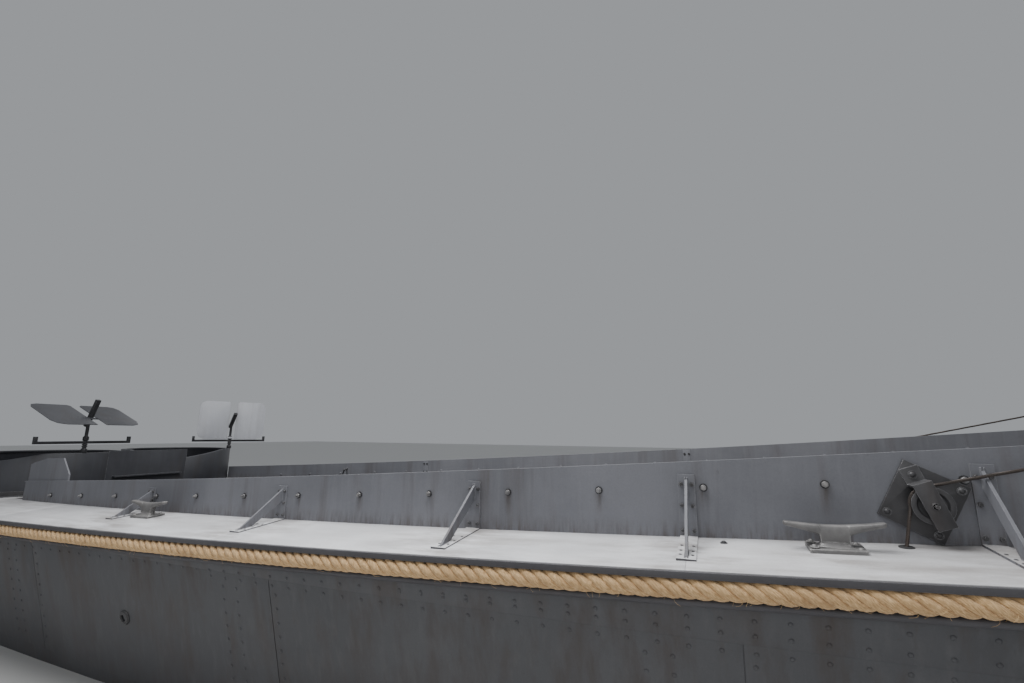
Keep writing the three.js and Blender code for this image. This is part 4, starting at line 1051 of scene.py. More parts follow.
# %% [markdown]
# The fender is a four-strand rope. Each strand is a tube that winds round the rope's middle once
# every lay, and its thickness wavers a little, as hand-laid rope does. The hull holds the rope all
# along, so it is a fixed piece and not a loose cord. Short broken fibres stand out of it.

# %% Fender rope
STRANDS = 4
STRAND_RADIUS = 0.0162
STRAND_ORBIT = 0.0196
ROPE_LAY = 0.200
ROPE_ENDS = (-1.72, 8.55)
ROPE_LONG = ROPE_ENDS[1] - ROPE_ENDS[0]
ROPE_STEPS = 840
STRAND_SIDES = 12
YARNS_A_METRE = 8


def rope_heart(x, side):
    return Vector((x, side * rope_y(x), rope_z(x)))


for name, side in SIDES.items():
    strands = []
    for number in range(STRANDS):
        def strand(u, v, number=number):
            x = along_hull(u, *ROPE_ENDS)
            wind = 2 * pi * (number / STRANDS + forward(x) / ROPE_LAY)
            waver = 1 + 0.035 * sin(7.3 * x + 2.1 * number) + 0.02 * sin(23.0 * x + number)
            outer = Vector((0, cos(wind), sin(wind)))
            middle = rope_heart(x, side) + STRAND_ORBIT * outer
            lean = atan2(2 * pi * STRAND_ORBIT, ROPE_LAY)
            flat = Vector((-sin(lean), -sin(wind) * cos(lean), cos(wind) * cos(lean)))
            angle = 2 * pi * v
            return middle + STRAND_RADIUS * waver * (cos(angle) * outer + sin(angle) * flat)
        strands.append(rolled(ROPE_STEPS, STRAND_SIDES, strand, uv=(ROPE_LONG * YARNS_A_METRE, 1.0)))
    hand_over(merge(strands), f"rope_strands_{name}", ROPE_FIBRE,
              replaces=(f"fender_rope_{name}",))

HAIR_SHAPES = 7
HAIRS_EACH = 42
HAIR_RADIUS = 0.00045
HAIR_STEPS = (0, 0.25, 0.5, 0.75, 1)
HAIR_ROOT = ROPE_RADIUS - 0.004
luck = random.Random(7)
for name, side in SIDES.items():
    hairs = []
    for shape in range(HAIR_SHAPES):
        length = luck.uniform(0.010, 0.030)
        bend = luck.uniform(0.2, 1.1) * length
        path = [(bend * t * t, 0, length * t * (1 - 0.35 * t)) for t in HAIR_STEPS]
        hair = wire(path, HAIR_RADIUS, 3)
        places = []
        for number in range(HAIRS_EACH):
            x = station(luck.uniform(-1.6, 8.4))
            lift = luck.uniform(-0.72, 0.10) * pi
            out = Vector((0, side * cos(lift), sin(lift)))
            lean = Vector((luck.uniform(-0.5, 0.5), 0, -0.2))
            heading = Vector((luck.uniform(-1, 1), 0.2, luck.uniform(-1, 0)))
            root = rope_heart(x, side) + HAIR_ROOT * out
            places.append(stand_on(root, out + lean, heading))
        hairs.append(repeated(hair, places))
        bpy.data.objects.remove(hair)
    hand_over(merge(hairs), f"rope_hairs_{name}", LOOSE_FIBRE)
print("rope strands", STRANDS, "with", ROPE_STEPS, "steps")

# %% [markdown]
# Below the rope runs a half-round guard. A smooth half-round takes the place of its plain solid.

# %% Half-round guard
GUARD_FACE_SHARE = 0.8
for name, side in SIDES.items():
    def guard(u, v):
        x = along_hull(u, SIDE_START, GUARD_END)
        top = guard_foot(x) + GUARD_TALL
        if v > GUARD_FACE_SHARE:
            back = (v - GUARD_FACE_SHARE) / (1 - GUARD_FACE_SHARE)
            return side_spot(x, top - GUARD_TALL * back, side, GUARD_SEAT)
        angle = pi * (v / GUARD_FACE_SHARE - 0.5)
        z = top - GUARD_TALL / 2 + GUARD_TALL / 2 * sin(angle)
        return side_spot(x, z, side, max((GUARD_OUT - 0.002) * abs(cos(angle)) ** 0.5, GUARD_SEAT))
    piece = rolled(60, 15, guard)
    hand_over(piece, f"half_round_{name}", EDGE_PAINT_AND_SHADE, replaces=(f"guard_{name}",))

# %% [markdown]
# The coamings are flat armour plates. Bolts pass through them every 437 mm, with the nut and the
# proud bolt end outside, bright where the paint has gone. The stays' feet are painted with the
# deck, and their sides are painted dark as lines of painted shadow and dirt. Butt straps join the
# plates on the inside.

# %% Coamings with bolts, stays and welds
STAY = {"thick": 0.008, "base": 0.007, "bar": 0.046, "bar_half": 0.005, "bar_drop": 0.014,
        "steep": 1.5, "toe": 0.014}
STAY_COLUMN = 0.0215
STAY_BOLT_ROWS = (0.16, 0.50)
STAY_FOOT_BOLT = 0.027
STAY_SCREWS = (0.48, 0.69, 0.85)
STAY_CLEAR = 0.053
BOLT_COUNT = 21
FOOT_EDGE = 0.002
FOOT_TOP = 0.6
BEAD_TILT = 0.005


def bolt_stations():
    """Bolts keep their pitch, but step aside where a stay's plate is in the way."""
    for i in range(1, BOLT_COUNT):
        s = BOLT_START + BOLT_PITCH * i
        for row in STAYS:
            if abs(s - row["at"]) < STAY_CLEAR:
                s = row["at"] + (STAY_CLEAR if s > row["at"] else -STAY_CLEAR)
        yield s


def on_foot(centre):
    """True on the part of a stay's foot that lies on the deck."""
    outboard = abs(centre.y) > coaming_half(centre.x) + STAY["thick"] + FOOT_EDGE
    return outboard and centre.z < deck_at(centre.x, centre.y) + STAY["base"] + FOOT_EDGE


for name, side in SIDES.items():
    piece = dressed(f"coaming_{name}", PLATE_PAINT, edge=0.0015, smoothing=0.3)
    repaint(piece, DECK_PAINT, lambda centre, normal: on_foot(centre) and normal.z > FOOT_TOP)
    # The sides of the stays' feet take the dark edge paint as painted shadow and dirt lines.
    repaint(piece, EDGE_PAINT_AND_SHADE, lambda centre, normal: on_foot(centre) and normal.z <= FOOT_TOP)

    outside = []
    inside = []
    for s in bolt_stations():
        x = station(s)
        z = coaming_top(x) - BOLT_DROP
        outside.append(stand_on((x, side * coaming_half(x), z), (0, side, 0)))
        inside.append(stand_on((x, side * (coaming_half(x) - COAMING_THICK), z), (0, -side, 0)))
    fasteners(f"coaming_washers_{name}", WASHER, outside, DARK_PAINT)
    fasteners(f"coaming_bolts_{name}", THROUGH_BOLT, outside, BOLT_STEEL)
    fasteners(f"coaming_heads_{name}", ROUND_BOLT, inside, PLATE_PAINT)

    heads = []
    screws = []
    beads = []
    for row in STAYS:
        x = station(row["at"])
        root = coaming_half(x) + STAY["thick"]
        high = coaming_top(x) - row["drop"]
        low = deck_at(x, root)
        heights = [high - (high - low) * t for t in STAY_BOLT_ROWS] + [low + STAY_FOOT_BOLT]
        for dx in (-STAY_COLUMN, STAY_COLUMN):
            heads += [stand_on((x + dx, side * root, z), (0, side, 0)) for z in heights]
            for t in STAY_SCREWS:
                y = coaming_half(x) + row["reach"] * t
                spot = (x + dx, side * y, deck_at(x, y) + STAY["base"])
                screws.append(stand_on(spot, (0, side * CAMBER, 1)))
        bar_top = high - STAY["bar_drop"]
        bar_low = bar_top - STAY["bar"] * STAY["steep"]
        toe = coaming_half(x) + row["reach"] - STAY["toe"]
        heel = toe - STAY["bar"] * STAY["steep"]
        for dx in (-STAY["bar_half"], STAY["bar_half"]):
            foot, head = [(x + dx, side * root, z) for z in (bar_low, bar_top)]
            beads += weld(foot, head, (dx, BEAD_TILT * side, 0))
            ends = [Vector((x + dx, side * y, deck_at(x, y) + STAY["base"])) for y in (heel, toe)]
            beads += weld(ends[0], ends[1], (dx, 0, BEAD_TILT))
    fasteners(f"stay_bolts_{name}", SMALL_HEX, heads, FITTING_PAINT)
    fasteners(f"stay_screws_{name}", FLAT_SCREW, screws, FITTING_PAINT)
    fasteners(f"stay_welds_{name}", WELD_DROP, beads, PLATE_PAINT)
print("bolts a side", BOLT_COUNT - 1, "weld drops", len(beads))

# %% [markdown]
# The coaming's plates meet end to end. A flat strap covers each joint on the inside, with two
# columns of small nuts, and a narrow lip closes the starboard plate's aft end. They are flat bars,
# so each is a box with rounded edges.

# %% Butt straps inside the coamings
STRAP_STATIONS = [2.44, 5.09, 7.50]
STRAP_HALF = 0.030
STRAP_THICK = 0.005
STRAP_COLUMN = 0.018
STRAP_ROWS = (0.12, 0.5, 0.88)
for name, side in SIDES.items():
    straps = []
    heads = []
    for s in STRAP_STATIONS:
        x = station(s)
        inner = coaming_half(x) - COAMING_THICK
        low, high = deck_at(x, inner) + 0.006, coaming_top(x) - 0.008
        ends = sorted((side * (inner + 0.001), side * (inner - STRAP_THICK)))
        straps.append(block((x - STRAP_HALF, ends[0], low), (x + STRAP_HALF, ends[1], high), 0.0012))
        for dx in (-STRAP_COLUMN, STRAP_COLUMN):
            for t in STRAP_ROWS:
                spot = (x + dx, side * (inner - STRAP_THICK), low + (high - low) * t)
                heads.append(stand_on(spot, (0, -side, 0)))
    hand_over(merge(straps), f"coaming_straps_{name}", PLATE_PAINT)
    fasteners(f"coaming_strap_bolts_{name}", SMALL_HEX, heads, DARK_PAINT)

LIP = {"aft": -0.055, "fore": 0.004, "deep": 0.036, "thick": 0.006, "drop": 0.012}
x0, x1 = station(LIP["aft"]), station(LIP["fore"])
lip_z = coaming_top(station(0)) - LIP["drop"]
lip_y = -(coaming_half(station(0)) - COAMING_THICK)
piece = block((x0, lip_y, lip_z), (x1, lip_y + LIP["deep"], lip_z + LIP["thick"]), 0.0012)
hand_over(piece, "coaming_aft_lip", PLATE_PAINT)
print("coaming straps", len(STRAP_STATIONS))

# %% [markdown]
# Cleats are castings: two long horns that dip between their tips, on a web with a narrow neck, on
# a flat rectangular foot. The horns and web are one sweep of rounded sections along the boat, so
# the top is soft and worn bright. The foot is a thick plate, bolted down.

# %% Cleats
HORN_HALF = 0.160
HORN_WIDE = 0.017
NECK_HALF = 0.046
HORN_STATIONS = [-1, -0.985, -0.955, -0.90, -0.80, -0.64, -0.50, -0.40, -0.34, -0.305, -0.290, -0.28,
                 -0.24, -0.14, 0, 0.14, 0.24, 0.28, 0.290, 0.305, 0.34, 0.40, 0.50, 0.64, 0.80, 0.90,
                 0.955, 0.985, 1]
CLEAT_FOOT = {"long": 0.175, "wide": 0.105, "thick": 0.014, "sunk": 0.004, "round": 0.0028}
CLEAT_BOLT = {"along": 0.070, "across": 0.034}
FILLET = {"low": 0.012, "tall": 0.016, "along": 0.016, "across": 0.012}
WEB_UNDER = 0.010


def horn_top(t):
    """The horns' upper line over the deck, with t from -1 at one tip to 1 at the other."""
    return 0.0865 + 0.0125 * abs(t) ** 1.7


def horn_under(t):
    """The underside: low under the web, then a steep neck, then a straight rise to the tip."""
    reach = abs(t) * HORN_HALF
    if reach < NECK_HALF - 0.001:
        return WEB_UNDER
    rise = max((reach - NECK_HALF) / (HORN_HALF - NECK_HALF), 0.0)
    return 0.047 + 0.035 * rise ** 0.72


def rounded(angle, wide, tall, power=0.62):
    """A point of a rounded rectangle."""
    c, s = cos(angle), sin(angle)
    across = wide * abs(c) ** power * (1 if c >= 0 else -1)
    upward = tall * abs(s) ** power * (1 if s >= 0 else -1)
    return across, upward


for name, side in SIDES.items():
    for place, row in CLEATS.items():
        x0 = station(row["at"])
        y0 = side * (coaming_half(x0) + row["offset"])
        z0 = deck_at(x0, y0)
        pitch = DECK_LINE[1] + 2 * DECK_LINE[2] * row["at"]

        def horn(u, v):
            t = HORN_STATIONS[round(u * (len(HORN_STATIONS) - 1))]
            high, low = horn_top(t), horn_under(t)
            tip = min((1 - abs(t)) / 0.05, 1.0) ** 0.5
            middle, half = (high + low) / 2, (high - low) / 2
            y, z = rounded(2 * pi * v, HORN_WIDE * (0.45 + 0.55 * tip), half * (0.50 + 0.50 * tip))
            return Vector((x0 + HORN_HALF * t, y0 + y, z0 + middle + z + pitch * HORN_HALF * t))

        half_long, half_wide = CLEAT_FOOT["long"] / 2, CLEAT_FOOT["wide"] / 2
        base = block((x0 - half_long, y0 - half_wide, z0 - CLEAT_FOOT["sunk"]),
                     (x0 + half_long, y0 + half_wide, z0 + CLEAT_FOOT["thick"]))
        for vertex in base.data.vertices:
            vertex.co.z += pitch * (vertex.co.x - x0) - CAMBER * side * (vertex.co.y - y0)
        bevel(base, CLEAT_FOOT["round"], 3)

        def fillet(u, v):
            grow = (1 - u) ** 2
            x, y = rounded(2 * pi * v, NECK_HALF + FILLET["along"] * grow,
                           HORN_WIDE + FILLET["across"] * grow, 0.5)
            return Vector((x0 + x, y0 + y, z0 + FILLET["low"] + FILLET["tall"] * u))

        cleat = merge([rolled(len(HORN_STATIONS) - 1, 18, horn), rolled(4, 24, fillet), base])
        smooth(cleat, 65)
        hand_over(cleat, f"cast_cleat_{place}_{name}", CLEAT_PAINT,
                  replaces=(f"cleat_{place}_{name}",))
        up = (0, side * CAMBER, 1)
        foot_top = z0 + CLEAT_FOOT["thick"] - 0.001
        bolts = [stand_on((x0 + dx, y0 + dy, foot_top - CAMBER * side * dy), up)
                 for dx in (-CLEAT_BOLT["along"], CLEAT_BOLT["along"])
                 for dy in (-CLEAT_BOLT["across"], CLEAT_BOLT["across"])]
        fasteners(f"cleat_bolts_{place}_{name}", ROUND_BOLT, bolts, CLEAT_PAINT)
print("cleats", len(CLEATS) * 2)

# %% [markdown]
# The rest of the craft keeps its CAD shapes, with edges rounded and its own paint. A table names
# each node, its material and how far its edges are rounded.

# %% Dressed nodes
DRESSED = [
    ("keel_skeg", BOTTOM_PAINT, 0.004), ("transom", HULL_PAINT, 0.003), ("headlog", HULL_PAINT, 0.003),
    ("hinge_lugs", DARK_PAINT, 0.002), ("bulkhead_aft", WELL_PAINT, 0.002),
    ("engine_box", WELL_PAINT, 0.003), ("engine_block", ENGINE_PAINT, 0.012),
    ("engine_lid_starboard", WELL_PAINT, 0.003),
    ("engine_lid_port", WELL_PAINT, 0.003), ("helm_stand", WELL_PAINT, 0.010),
    ("helm_wheel", DARK_PAINT, 0.0), ("ramp_winch", DARK_PAINT, 0.002), ("stern_bitt", SHIELD_PAINT, 0.004),
    ("vent_starboard", VENT_PAINT, 0.0), ("vent_port", VENT_PAINT, 0.0),
    ("discharge_fitting", FITTING_PAINT, 0.0), ("propeller", BRONZE, 0.003), ("rudder", BOTTOM_PAINT, 0.004),
    ("tub_starboard", TUB_PAINT_AND_SHADE, 0.0015), ("tub_port", TUB_PAINT_AND_SHADE, 0.0015),
    ("tub_breastwork", TUB_PAINT_AND_SHADE, 0.0015), ("ramp_plate", PLATE_PAINT, 0.0015),
    ("ramp_frame", PLATE_PAINT, 0.003), ("ramp_eye_port", DARK_PAINT, 0.002),
    ("ramp_eye_starboard", DARK_PAINT, 0.002), ("mount_starboard", DARK_PAINT, 0.0015),
    # The starboard shield takes the dark tub paint as painted shade, since it lies in shadow.
    ("mount_port", DARK_PAINT, 0.0015), ("shield_starboard", TUB_PAINT_AND_SHADE, 0.0015),
    ("shield_port", SHIELD_PAINT, 0.0015), ("sheave_bracket_starboard", FITTING_PAINT, 0.0015),
    ("sheave_bracket_port", FITTING_PAINT, 0.0015), ("sheave_starboard", FITTING_PAINT, 0.0012),
    ("sheave_port", FITTING_PAINT, 0.0012),
]
for node, material, edge in DRESSED:
    dressed(node, material, edge)
bottom = dressed("hull_bottom", BOTTOM_PAINT, 0.004)
repaint(bottom, WELL_PAINT, lambda centre, normal: normal.z > 0.9 and centre.z > 0.025)
print("dressed", len(DRESSED) + 1, "nodes")

# %% [markdown]
# The sheave's square plate is bolted to the coaming near each corner, and a bolt holds the strap's
# tab. A nut closes the pin outside the strap. The cable goes down through a lipped slot.

# %% Sheave bolts and deck slots
SHEAVE = Vector((station(6.001), 0, 1.287))
SHEAVE_PLATE = Vector((station(5.989), 0, 1.296))
SHEAVE_TURN = radians(27)
SHEAVE_LEAN = radians(20)
SHEAVE_CORNERS = [(-0.082, -0.088), (0.082, 0.088), (0.078, -0.088)]
SHEAVE_FACE = coaming_half(SHEAVE.x) + 0.004
SHEAVE_PLATE_THICK = 0.008
STRAP_TAB = {"up": 0.108, "out": 0.016}
PIN_OUT = 0.070
CABLE_FOOT = {"at": 5.911, "out": 0.046}
SLOT_LIP = [(0.0085, 0), (0.024, 0), (0.024, 0.002), (0.020, 0.0045), (0.0085, 0.005), (0.0085, 0)]


def turned_in_plane(centre, angle, along, up):
    """A place on an upright plate that is turned about the line across the boat."""
    return Vector((centre.x + along * cos(angle) + up * sin(angle), 0,
                   centre.z - along * sin(angle) + up * cos(angle)))


for name, side in SIDES.items():
    def on_plate(spot, out):
        return stand_on((spot.x, side * (SHEAVE_FACE + out), spot.z), (0, side, 0))
    heads = [on_plate(turned_in_plane(SHEAVE_PLATE, SHEAVE_TURN, a, b), SHEAVE_PLATE_THICK)
             for a, b in SHEAVE_CORNERS]
    tab = turned_in_plane(SHEAVE, -SHEAVE_LEAN, 0, STRAP_TAB["up"])
    heads.append(on_plate(tab, STRAP_TAB["out"]))
    fasteners(f"sheave_plate_bolts_{name}", ROUND_BOLT, heads, FITTING_PAINT)
    nut = [on_plate(SHEAVE, PIN_OUT - NUT_RAISE)]
    fasteners(f"sheave_pin_nut_{name}", THROUGH_BOLT, nut, FITTING_PAINT)
    x = station(CABLE_FOOT["at"])
    y = side * (coaming_half(SHEAVE.x) + CABLE_FOOT["out"])
    lip = turned(SLOT_LIP, (x, y, deck_at(x, y) - 0.0005), (0, side * CAMBER, 1), 20)
    hand_over(lip, f"cable_slot_{name}", RUBBER)
print("sheave plate bolts", len(heads))

# %% [markdown]
# Wire rope is six strands laid round a core. Each cable's strands wind along the same route as its
# solid: up from the deck, round the back of the sheave, and away to the ramp's top corner.

# %% Ramp cables
RAMP_FOOT = Vector((4.770, 0, 0.150))
RAMP_LEAN = radians(20.5)
RAMP_EYE = {"along": 2.080, "half": 0.990, "out": -0.052, "short": 0.030}
CABLE_RADIUS = 0.006
CABLE_RUN = 0.054 + CABLE_RADIUS + 0.0035
CABLE_LAY = 0.045
CABLE_STRANDS = 6
CABLE_STEP = 0.006
CABLE_DECK_GAP = 0.002
WRAP_STEPS = 12
SHEAVE_MIDDLE = 0.024 + 0.016


def cable_route(side):
    y = side * (SHEAVE_FACE + SHEAVE_MIDDLE)
    foot_x = station(CABLE_FOOT["at"])
    foot_y = side * (coaming_half(SHEAVE.x) + CABLE_FOOT["out"])
    foot = Vector((foot_x, foot_y, deck_at(foot_x, foot_y) + CABLE_DECK_GAP))
    eye_x = RAMP_FOOT.x + RAMP_EYE["along"] * sin(RAMP_LEAN) + RAMP_EYE["out"] * cos(RAMP_LEAN)
    eye_z = RAMP_FOOT.z + RAMP_EYE["along"] * cos(RAMP_LEAN) - RAMP_EYE["out"] * sin(RAMP_LEAN)
    rise = atan2(eye_z - SHEAVE.z - CABLE_RUN, eye_x - SHEAVE.x)
    leave = pi + atan2(SHEAVE.x - CABLE_RUN - foot.x, SHEAVE.z - foot.z)
    arc = [leave + (pi / 2 + rise - leave) * i / WRAP_STEPS for i in range(WRAP_STEPS + 1)]
    turn = [Vector((SHEAVE.x + CABLE_RUN * cos(a), y, SHEAVE.z + CABLE_RUN * sin(a))) for a in arc]
    return [foot, *turn, Vector((eye_x - RAMP_EYE["short"], side * RAMP_EYE["half"], eye_z))]


def even_points(route, step):
    """Points at even steps along a route of straight stretches."""
    points = []
    for a, b in zip(route, route[1:]):
        count = max(int((b - a).length / step), 1)
        points += [a.lerp(b, i / count) for i in range(count)]
    return points + [route[-1]]


for name, side in SIDES.items():
    heart = even_points(cable_route(side), CABLE_STEP)
    travelled = [0.0]
    for a, b in zip(heart, heart[1:]):
        travelled.append(travelled[-1] + (b - a).length)
    strands = []
    for number in range(CABLE_STRANDS):
        path = []
        for i, p in enumerate(heart):
            heading = (heart[min(i + 1, len(heart) - 1)] - heart[max(i - 1, 0)]).normalized()
            a = heading.cross(Vector((0, 1, 0))).normalized()
            b = heading.cross(a)
            angle = 2 * pi * (number / CABLE_STRANDS + travelled[i] / CABLE_LAY)
            path.append(p + 0.62 * CABLE_RADIUS * (cos(angle) * a + sin(angle) * b))
        strands.append(wire(path, 0.36 * CABLE_RADIUS, 5, uv=(travelled[-1] * YARNS_A_METRE, 1.0)))
    hand_over(merge(strands), f"wire_rope_{name}", WIRE_STEEL,
              replaces=(f"ramp_cable_{name}",))
print("cable length", round(travelled[-1], 2))

# %% [markdown]
# Each tub stands in an angle ring that is bolted to the deck. The ring leaves gaps where the
# breastwork, the well's edge and the port coaming meet the tub. Upright weld seams show on the
# tub's wall.

# %% Tub foot rings, bolts and seams
TUB = {"x": station(-0.75), "y": 0.620, "radius": 0.550}
RING = {"wide": 0.050, "thick": 0.006, "tall": 0.044, "bolt": 0.032, "bolt_pitch": radians(12),
        "bolt_start": 0.04}
RING_SECTION = [(0.0008, 0.0006), (RING["wide"], 0.0006), (RING["wide"], RING["thick"]),
                (0.0068, RING["thick"] + 0.001), (0.0055, RING["tall"]), (0.0008, RING["tall"])]
RING_STEPS = 72
RING_ARCS = {"starboard": {"outboard": radians(26), "inboard": radians(40)},
             "port": {"outboard": radians(57), "inboard": radians(40)}}
TUB_SEAMS = [radians(97.5), radians(217.5), radians(322.5)]
SEAM_TOP = 1.18
for name, side in SIDES.items():
    arc = RING_ARCS[name]
    start, end = arc["outboard"], 2 * pi - arc["inboard"]

    def ring_spot(angle, out, up):
        x = TUB["x"] + (TUB["radius"] + out) * cos(angle)
        y = side * (TUB["y"] + (TUB["radius"] + out) * sin(angle))
        return Vector((x, y, aft_deck_at(x, y) + up))

    def ring(u, v):
        out, up = RING_SECTION[round(v * len(RING_SECTION)) % len(RING_SECTION)]
        return ring_spot(start + (end - start) * u, out, up)
    piece = rolled(RING_STEPS, len(RING_SECTION), ring)
    hand_over(bevel(piece, 0.001, 1, 50), f"tub_foot_ring_{name}", FITTING_PAINT)
    count = int((end - start) / RING["bolt_pitch"])
    bolted = end - start - 2 * RING["bolt_start"]
    angles = [start + RING["bolt_start"] + bolted * i / count for i in range(count + 1)]
    bolts = [stand_on(ring_spot(angle, RING["bolt"], RING["thick"]), (0, 0, 1)) for angle in angles]
    fasteners(f"tub_foot_bolts_{name}", SMALL_HEX, bolts, FITTING_PAINT)
    seams = []
    for angle in TUB_SEAMS:
        foot, head = ring_spot(angle, 0.0, RING["tall"]), ring_spot(angle, 0.0, 0)
        head.z = SEAM_TOP
        seams += weld(foot, head, (cos(angle), side * sin(angle), 0))
    fasteners(f"tub_seams_{name}", WELD_DROP, seams, TUB_PAINT_AND_SHADE)
print("tub foot bolts", count + 1)

# %% [markdown]
# Round heads near their inner edges hold the shields to the strap behind them, collars close the
# post, and a bolt holds each hook to the cross bar. They all ride on the post and turn with it.

# %% Shield and post details
PIVOT_UP = 0.302
TUB_RIM = 1.310
MOUNTS = {
    # The starboard shield and its rivets take the dark tub paint as painted shade.
    "starboard": {"x": station(-0.222), "y": -0.620, "turn": 6, "back": 67, "strap": 0.2677,
                  "paint": TUB_PAINT_AND_SHADE},
    "port": {"x": station(-0.388), "y": 1.012, "turn": -25, "back": 0, "strap": 0.122,
             "paint": SHIELD_PAINT},
}
SHIELD_FRONT = 0.033 + 0.007
STRAP_RISE = 0.010
SHIELD_HEADS = (0.070, 0.120, 0.165)
HOOK = {"x": -0.012, "y": 0.395, "z": 0.130}
COLLAR = [(0.0152, 0), (0.021, 0.001), (0.021, 0.011), (0.0152, 0.012), (0.0152, 0)]
COLLAR_HEIGHTS = (0.052, 0.070)
for name, row in MOUNTS.items():
    post = Matrix.Translation((row["x"], row["y"], TUB_RIM + SEAT_GAP))
    swing = post @ Matrix.Rotation(radians(row["turn"]), 4, "Z")
    lie_back = Matrix.Rotation(radians(-row["back"]), 4, "Y")
    tilt = Matrix.Translation((0, 0, PIVOT_UP)) @ lie_back @ Matrix.Translation((0, 0, -PIVOT_UP))
    height = row["strap"] + STRAP_RISE
    heads = [swing @ tilt @ stand_on((SHIELD_FRONT, k * y, height), (1, 0, 0), (0, 1, 0))
             for k in (-1, 1) for y in SHIELD_HEADS]
    fasteners(f"shield_rivets_{name}", RIVET, heads, row["paint"], body_of(f"shield_{name}"))
    parts = [turned(COLLAR, swing @ Vector((0, 0, z)), (0, 0, 1), 20) for z in COLLAR_HEIGHTS]
    hand_over(merge(parts), f"post_collars_{name}", DARK_PAINT, body_of(f"mount_{name}"))
    bolts = [swing @ stand_on((HOOK["x"], k * HOOK["y"], HOOK["z"]), (-1, 0, 0), (0, 1, 0))
             for k in (-1, 1)]
    fasteners(f"hook_bolts_{name}", SMALL_HEX, bolts, DARK_PAINT, body_of(f"mount_{name}"))
print("shield rivets", len(heads))

# %% [markdown]
# The well floor is laid with long boards. Each is a thin curved plate that follows the floor up to
# the ramp sill, with a dark gap beside it, and the set takes the place of the plain slab.

# %% Floor boards
SILL_AT = 8.375
FLOOR_LINES = [(-1.75, 0.030), (5.2, 0.030), (6.6, 0.060), (7.4, 0.085), (8.0, 0.118),
               (SILL_AT, 0.150)]
BOARD = {"thick": 0.0247, "count": 13, "gap": 0.004, "margin": 0.003}
SIDE_STEPS = 15
FIRST_BOARD_STEP = 8
SIDE_STEP = (SILL_AT - SIDE_START) / SIDE_STEPS
BOARD_STATIONS = [SIDE_START + SIDE_STEP * i for i in range(FIRST_BOARD_STEP, SIDE_STEPS + 1)]


def floor_height(s):
    for (a, low), (b, high) in zip(FLOOR_LINES, FLOOR_LINES[1:]):
        if s <= b:
            return low + (high - low) * (s - a) / (b - a)
    return FLOOR_LINES[-1][1]


boards = []
for number in range(BOARD["count"]):
    def board(u, v, number=number):
        s = BOARD_STATIONS[round(u * (len(BOARD_STATIONS) - 1))]
        x = station(s)
        half = wall_half(x) - BOARD["margin"]
        edges = [half * (2 * k / BOARD["count"] - 1) for k in (number, number + 1)]
        y = edges[0] + BOARD["gap"] / 2 + (edges[1] - edges[0] - BOARD["gap"]) * v
        return Vector((x, y, floor_height(s) + SEAT_GAP + BOARD["thick"]))
    boards.append(plate(len(BOARD_STATIONS) - 1, board, BOARD["thick"], edge=0.0018))
hand_over(merge(boards), "floor_planks", BOARDS, replaces=("floor_boards",))

NAIL_ROWS = [3.72, 4.6, 5.5, 6.3, 7.1, 7.9, 8.32]
NAIL_PLACES = (0.2, 0.8)
NAIL_SUNK = 0.0008
nails = []
for s in NAIL_ROWS:
    x = station(s)
    half = wall_half(x) - BOARD["margin"]
    a, b = max(t for t in BOARD_STATIONS if t <= s), min(t for t in BOARD_STATIONS if t > s)
    ground = floor_height(a) + (floor_height(b) - floor_height(a)) * (s - a) / (b - a)
    for number in range(BOARD["count"]):
        for t in NAIL_PLACES:
            y = half * (2 * (number + t) / BOARD["count"] - 1)
            z = ground + SEAT_GAP + BOARD["thick"] - NAIL_SUNK
            nails.append(stand_on((x, y, z), (0, 0, 1)))
fasteners("floor_nails", FLAT_SCREW, nails, DARK_PAINT)
print("floor boards", BOARD["count"])

# %% [markdown]
# Inside the well the panels stand on upright frames under the deck, with a stringer along them.

# %% Well wall frames and stringers
WALL_FRAME = {"half": 0.020, "deep": 0.026, "pitch": 0.560, "first": -0.10, "last": 8.1,
              "over_boards": 0.028, "over_bottom": 0.001}
STRINGER = {"z": 0.60, "half": 0.022, "deep": 0.018}
for name, side in SIDES.items():
    frames = []
    count = int((WALL_FRAME["last"] - WALL_FRAME["first"]) / WALL_FRAME["pitch"]) + 1
    for i in range(count):
        s = WALL_FRAME["first"] + WALL_FRAME["pitch"] * i
        x = station(s)
        wall = wall_half(x)
        ends = sorted((side * (wall + 0.002), side * (wall - WALL_FRAME["deep"])))
        boarded = s > BOARD_STATIONS[0]
        low = floor_height(s) + WALL_FRAME["over_boards" if boarded else "over_bottom"]
        high = deck_at(x, wall) - PLANK - 0.004
        frames.append(block((x - WALL_FRAME["half"], ends[0], low),
                            (x + WALL_FRAME["half"], ends[1], high), 0.003))

    def stringer(u, v):
        x = along_hull(u, WALL_FRAME["first"], WALL_FRAME["last"])
        t = 1 - v if side < 0 else v
        z = STRINGER["z"] - STRINGER["half"] + 2 * STRINGER["half"] * t
        return Vector((x, side * (wall_half(x) - STRINGER["deep"]), z))
    frames.append(plate(24, stringer, STRINGER["deep"] + 0.001, edge=0.002))
    hand_over(merge(frames), f"wall_frames_{name}", WELL_PAINT)
print("wall frames a side", count)

# %% [markdown]
# The engine box has louvres on its sides, battens and lift rings on its lids, and hinge straps.
# What sits on a lid rides with the lid.

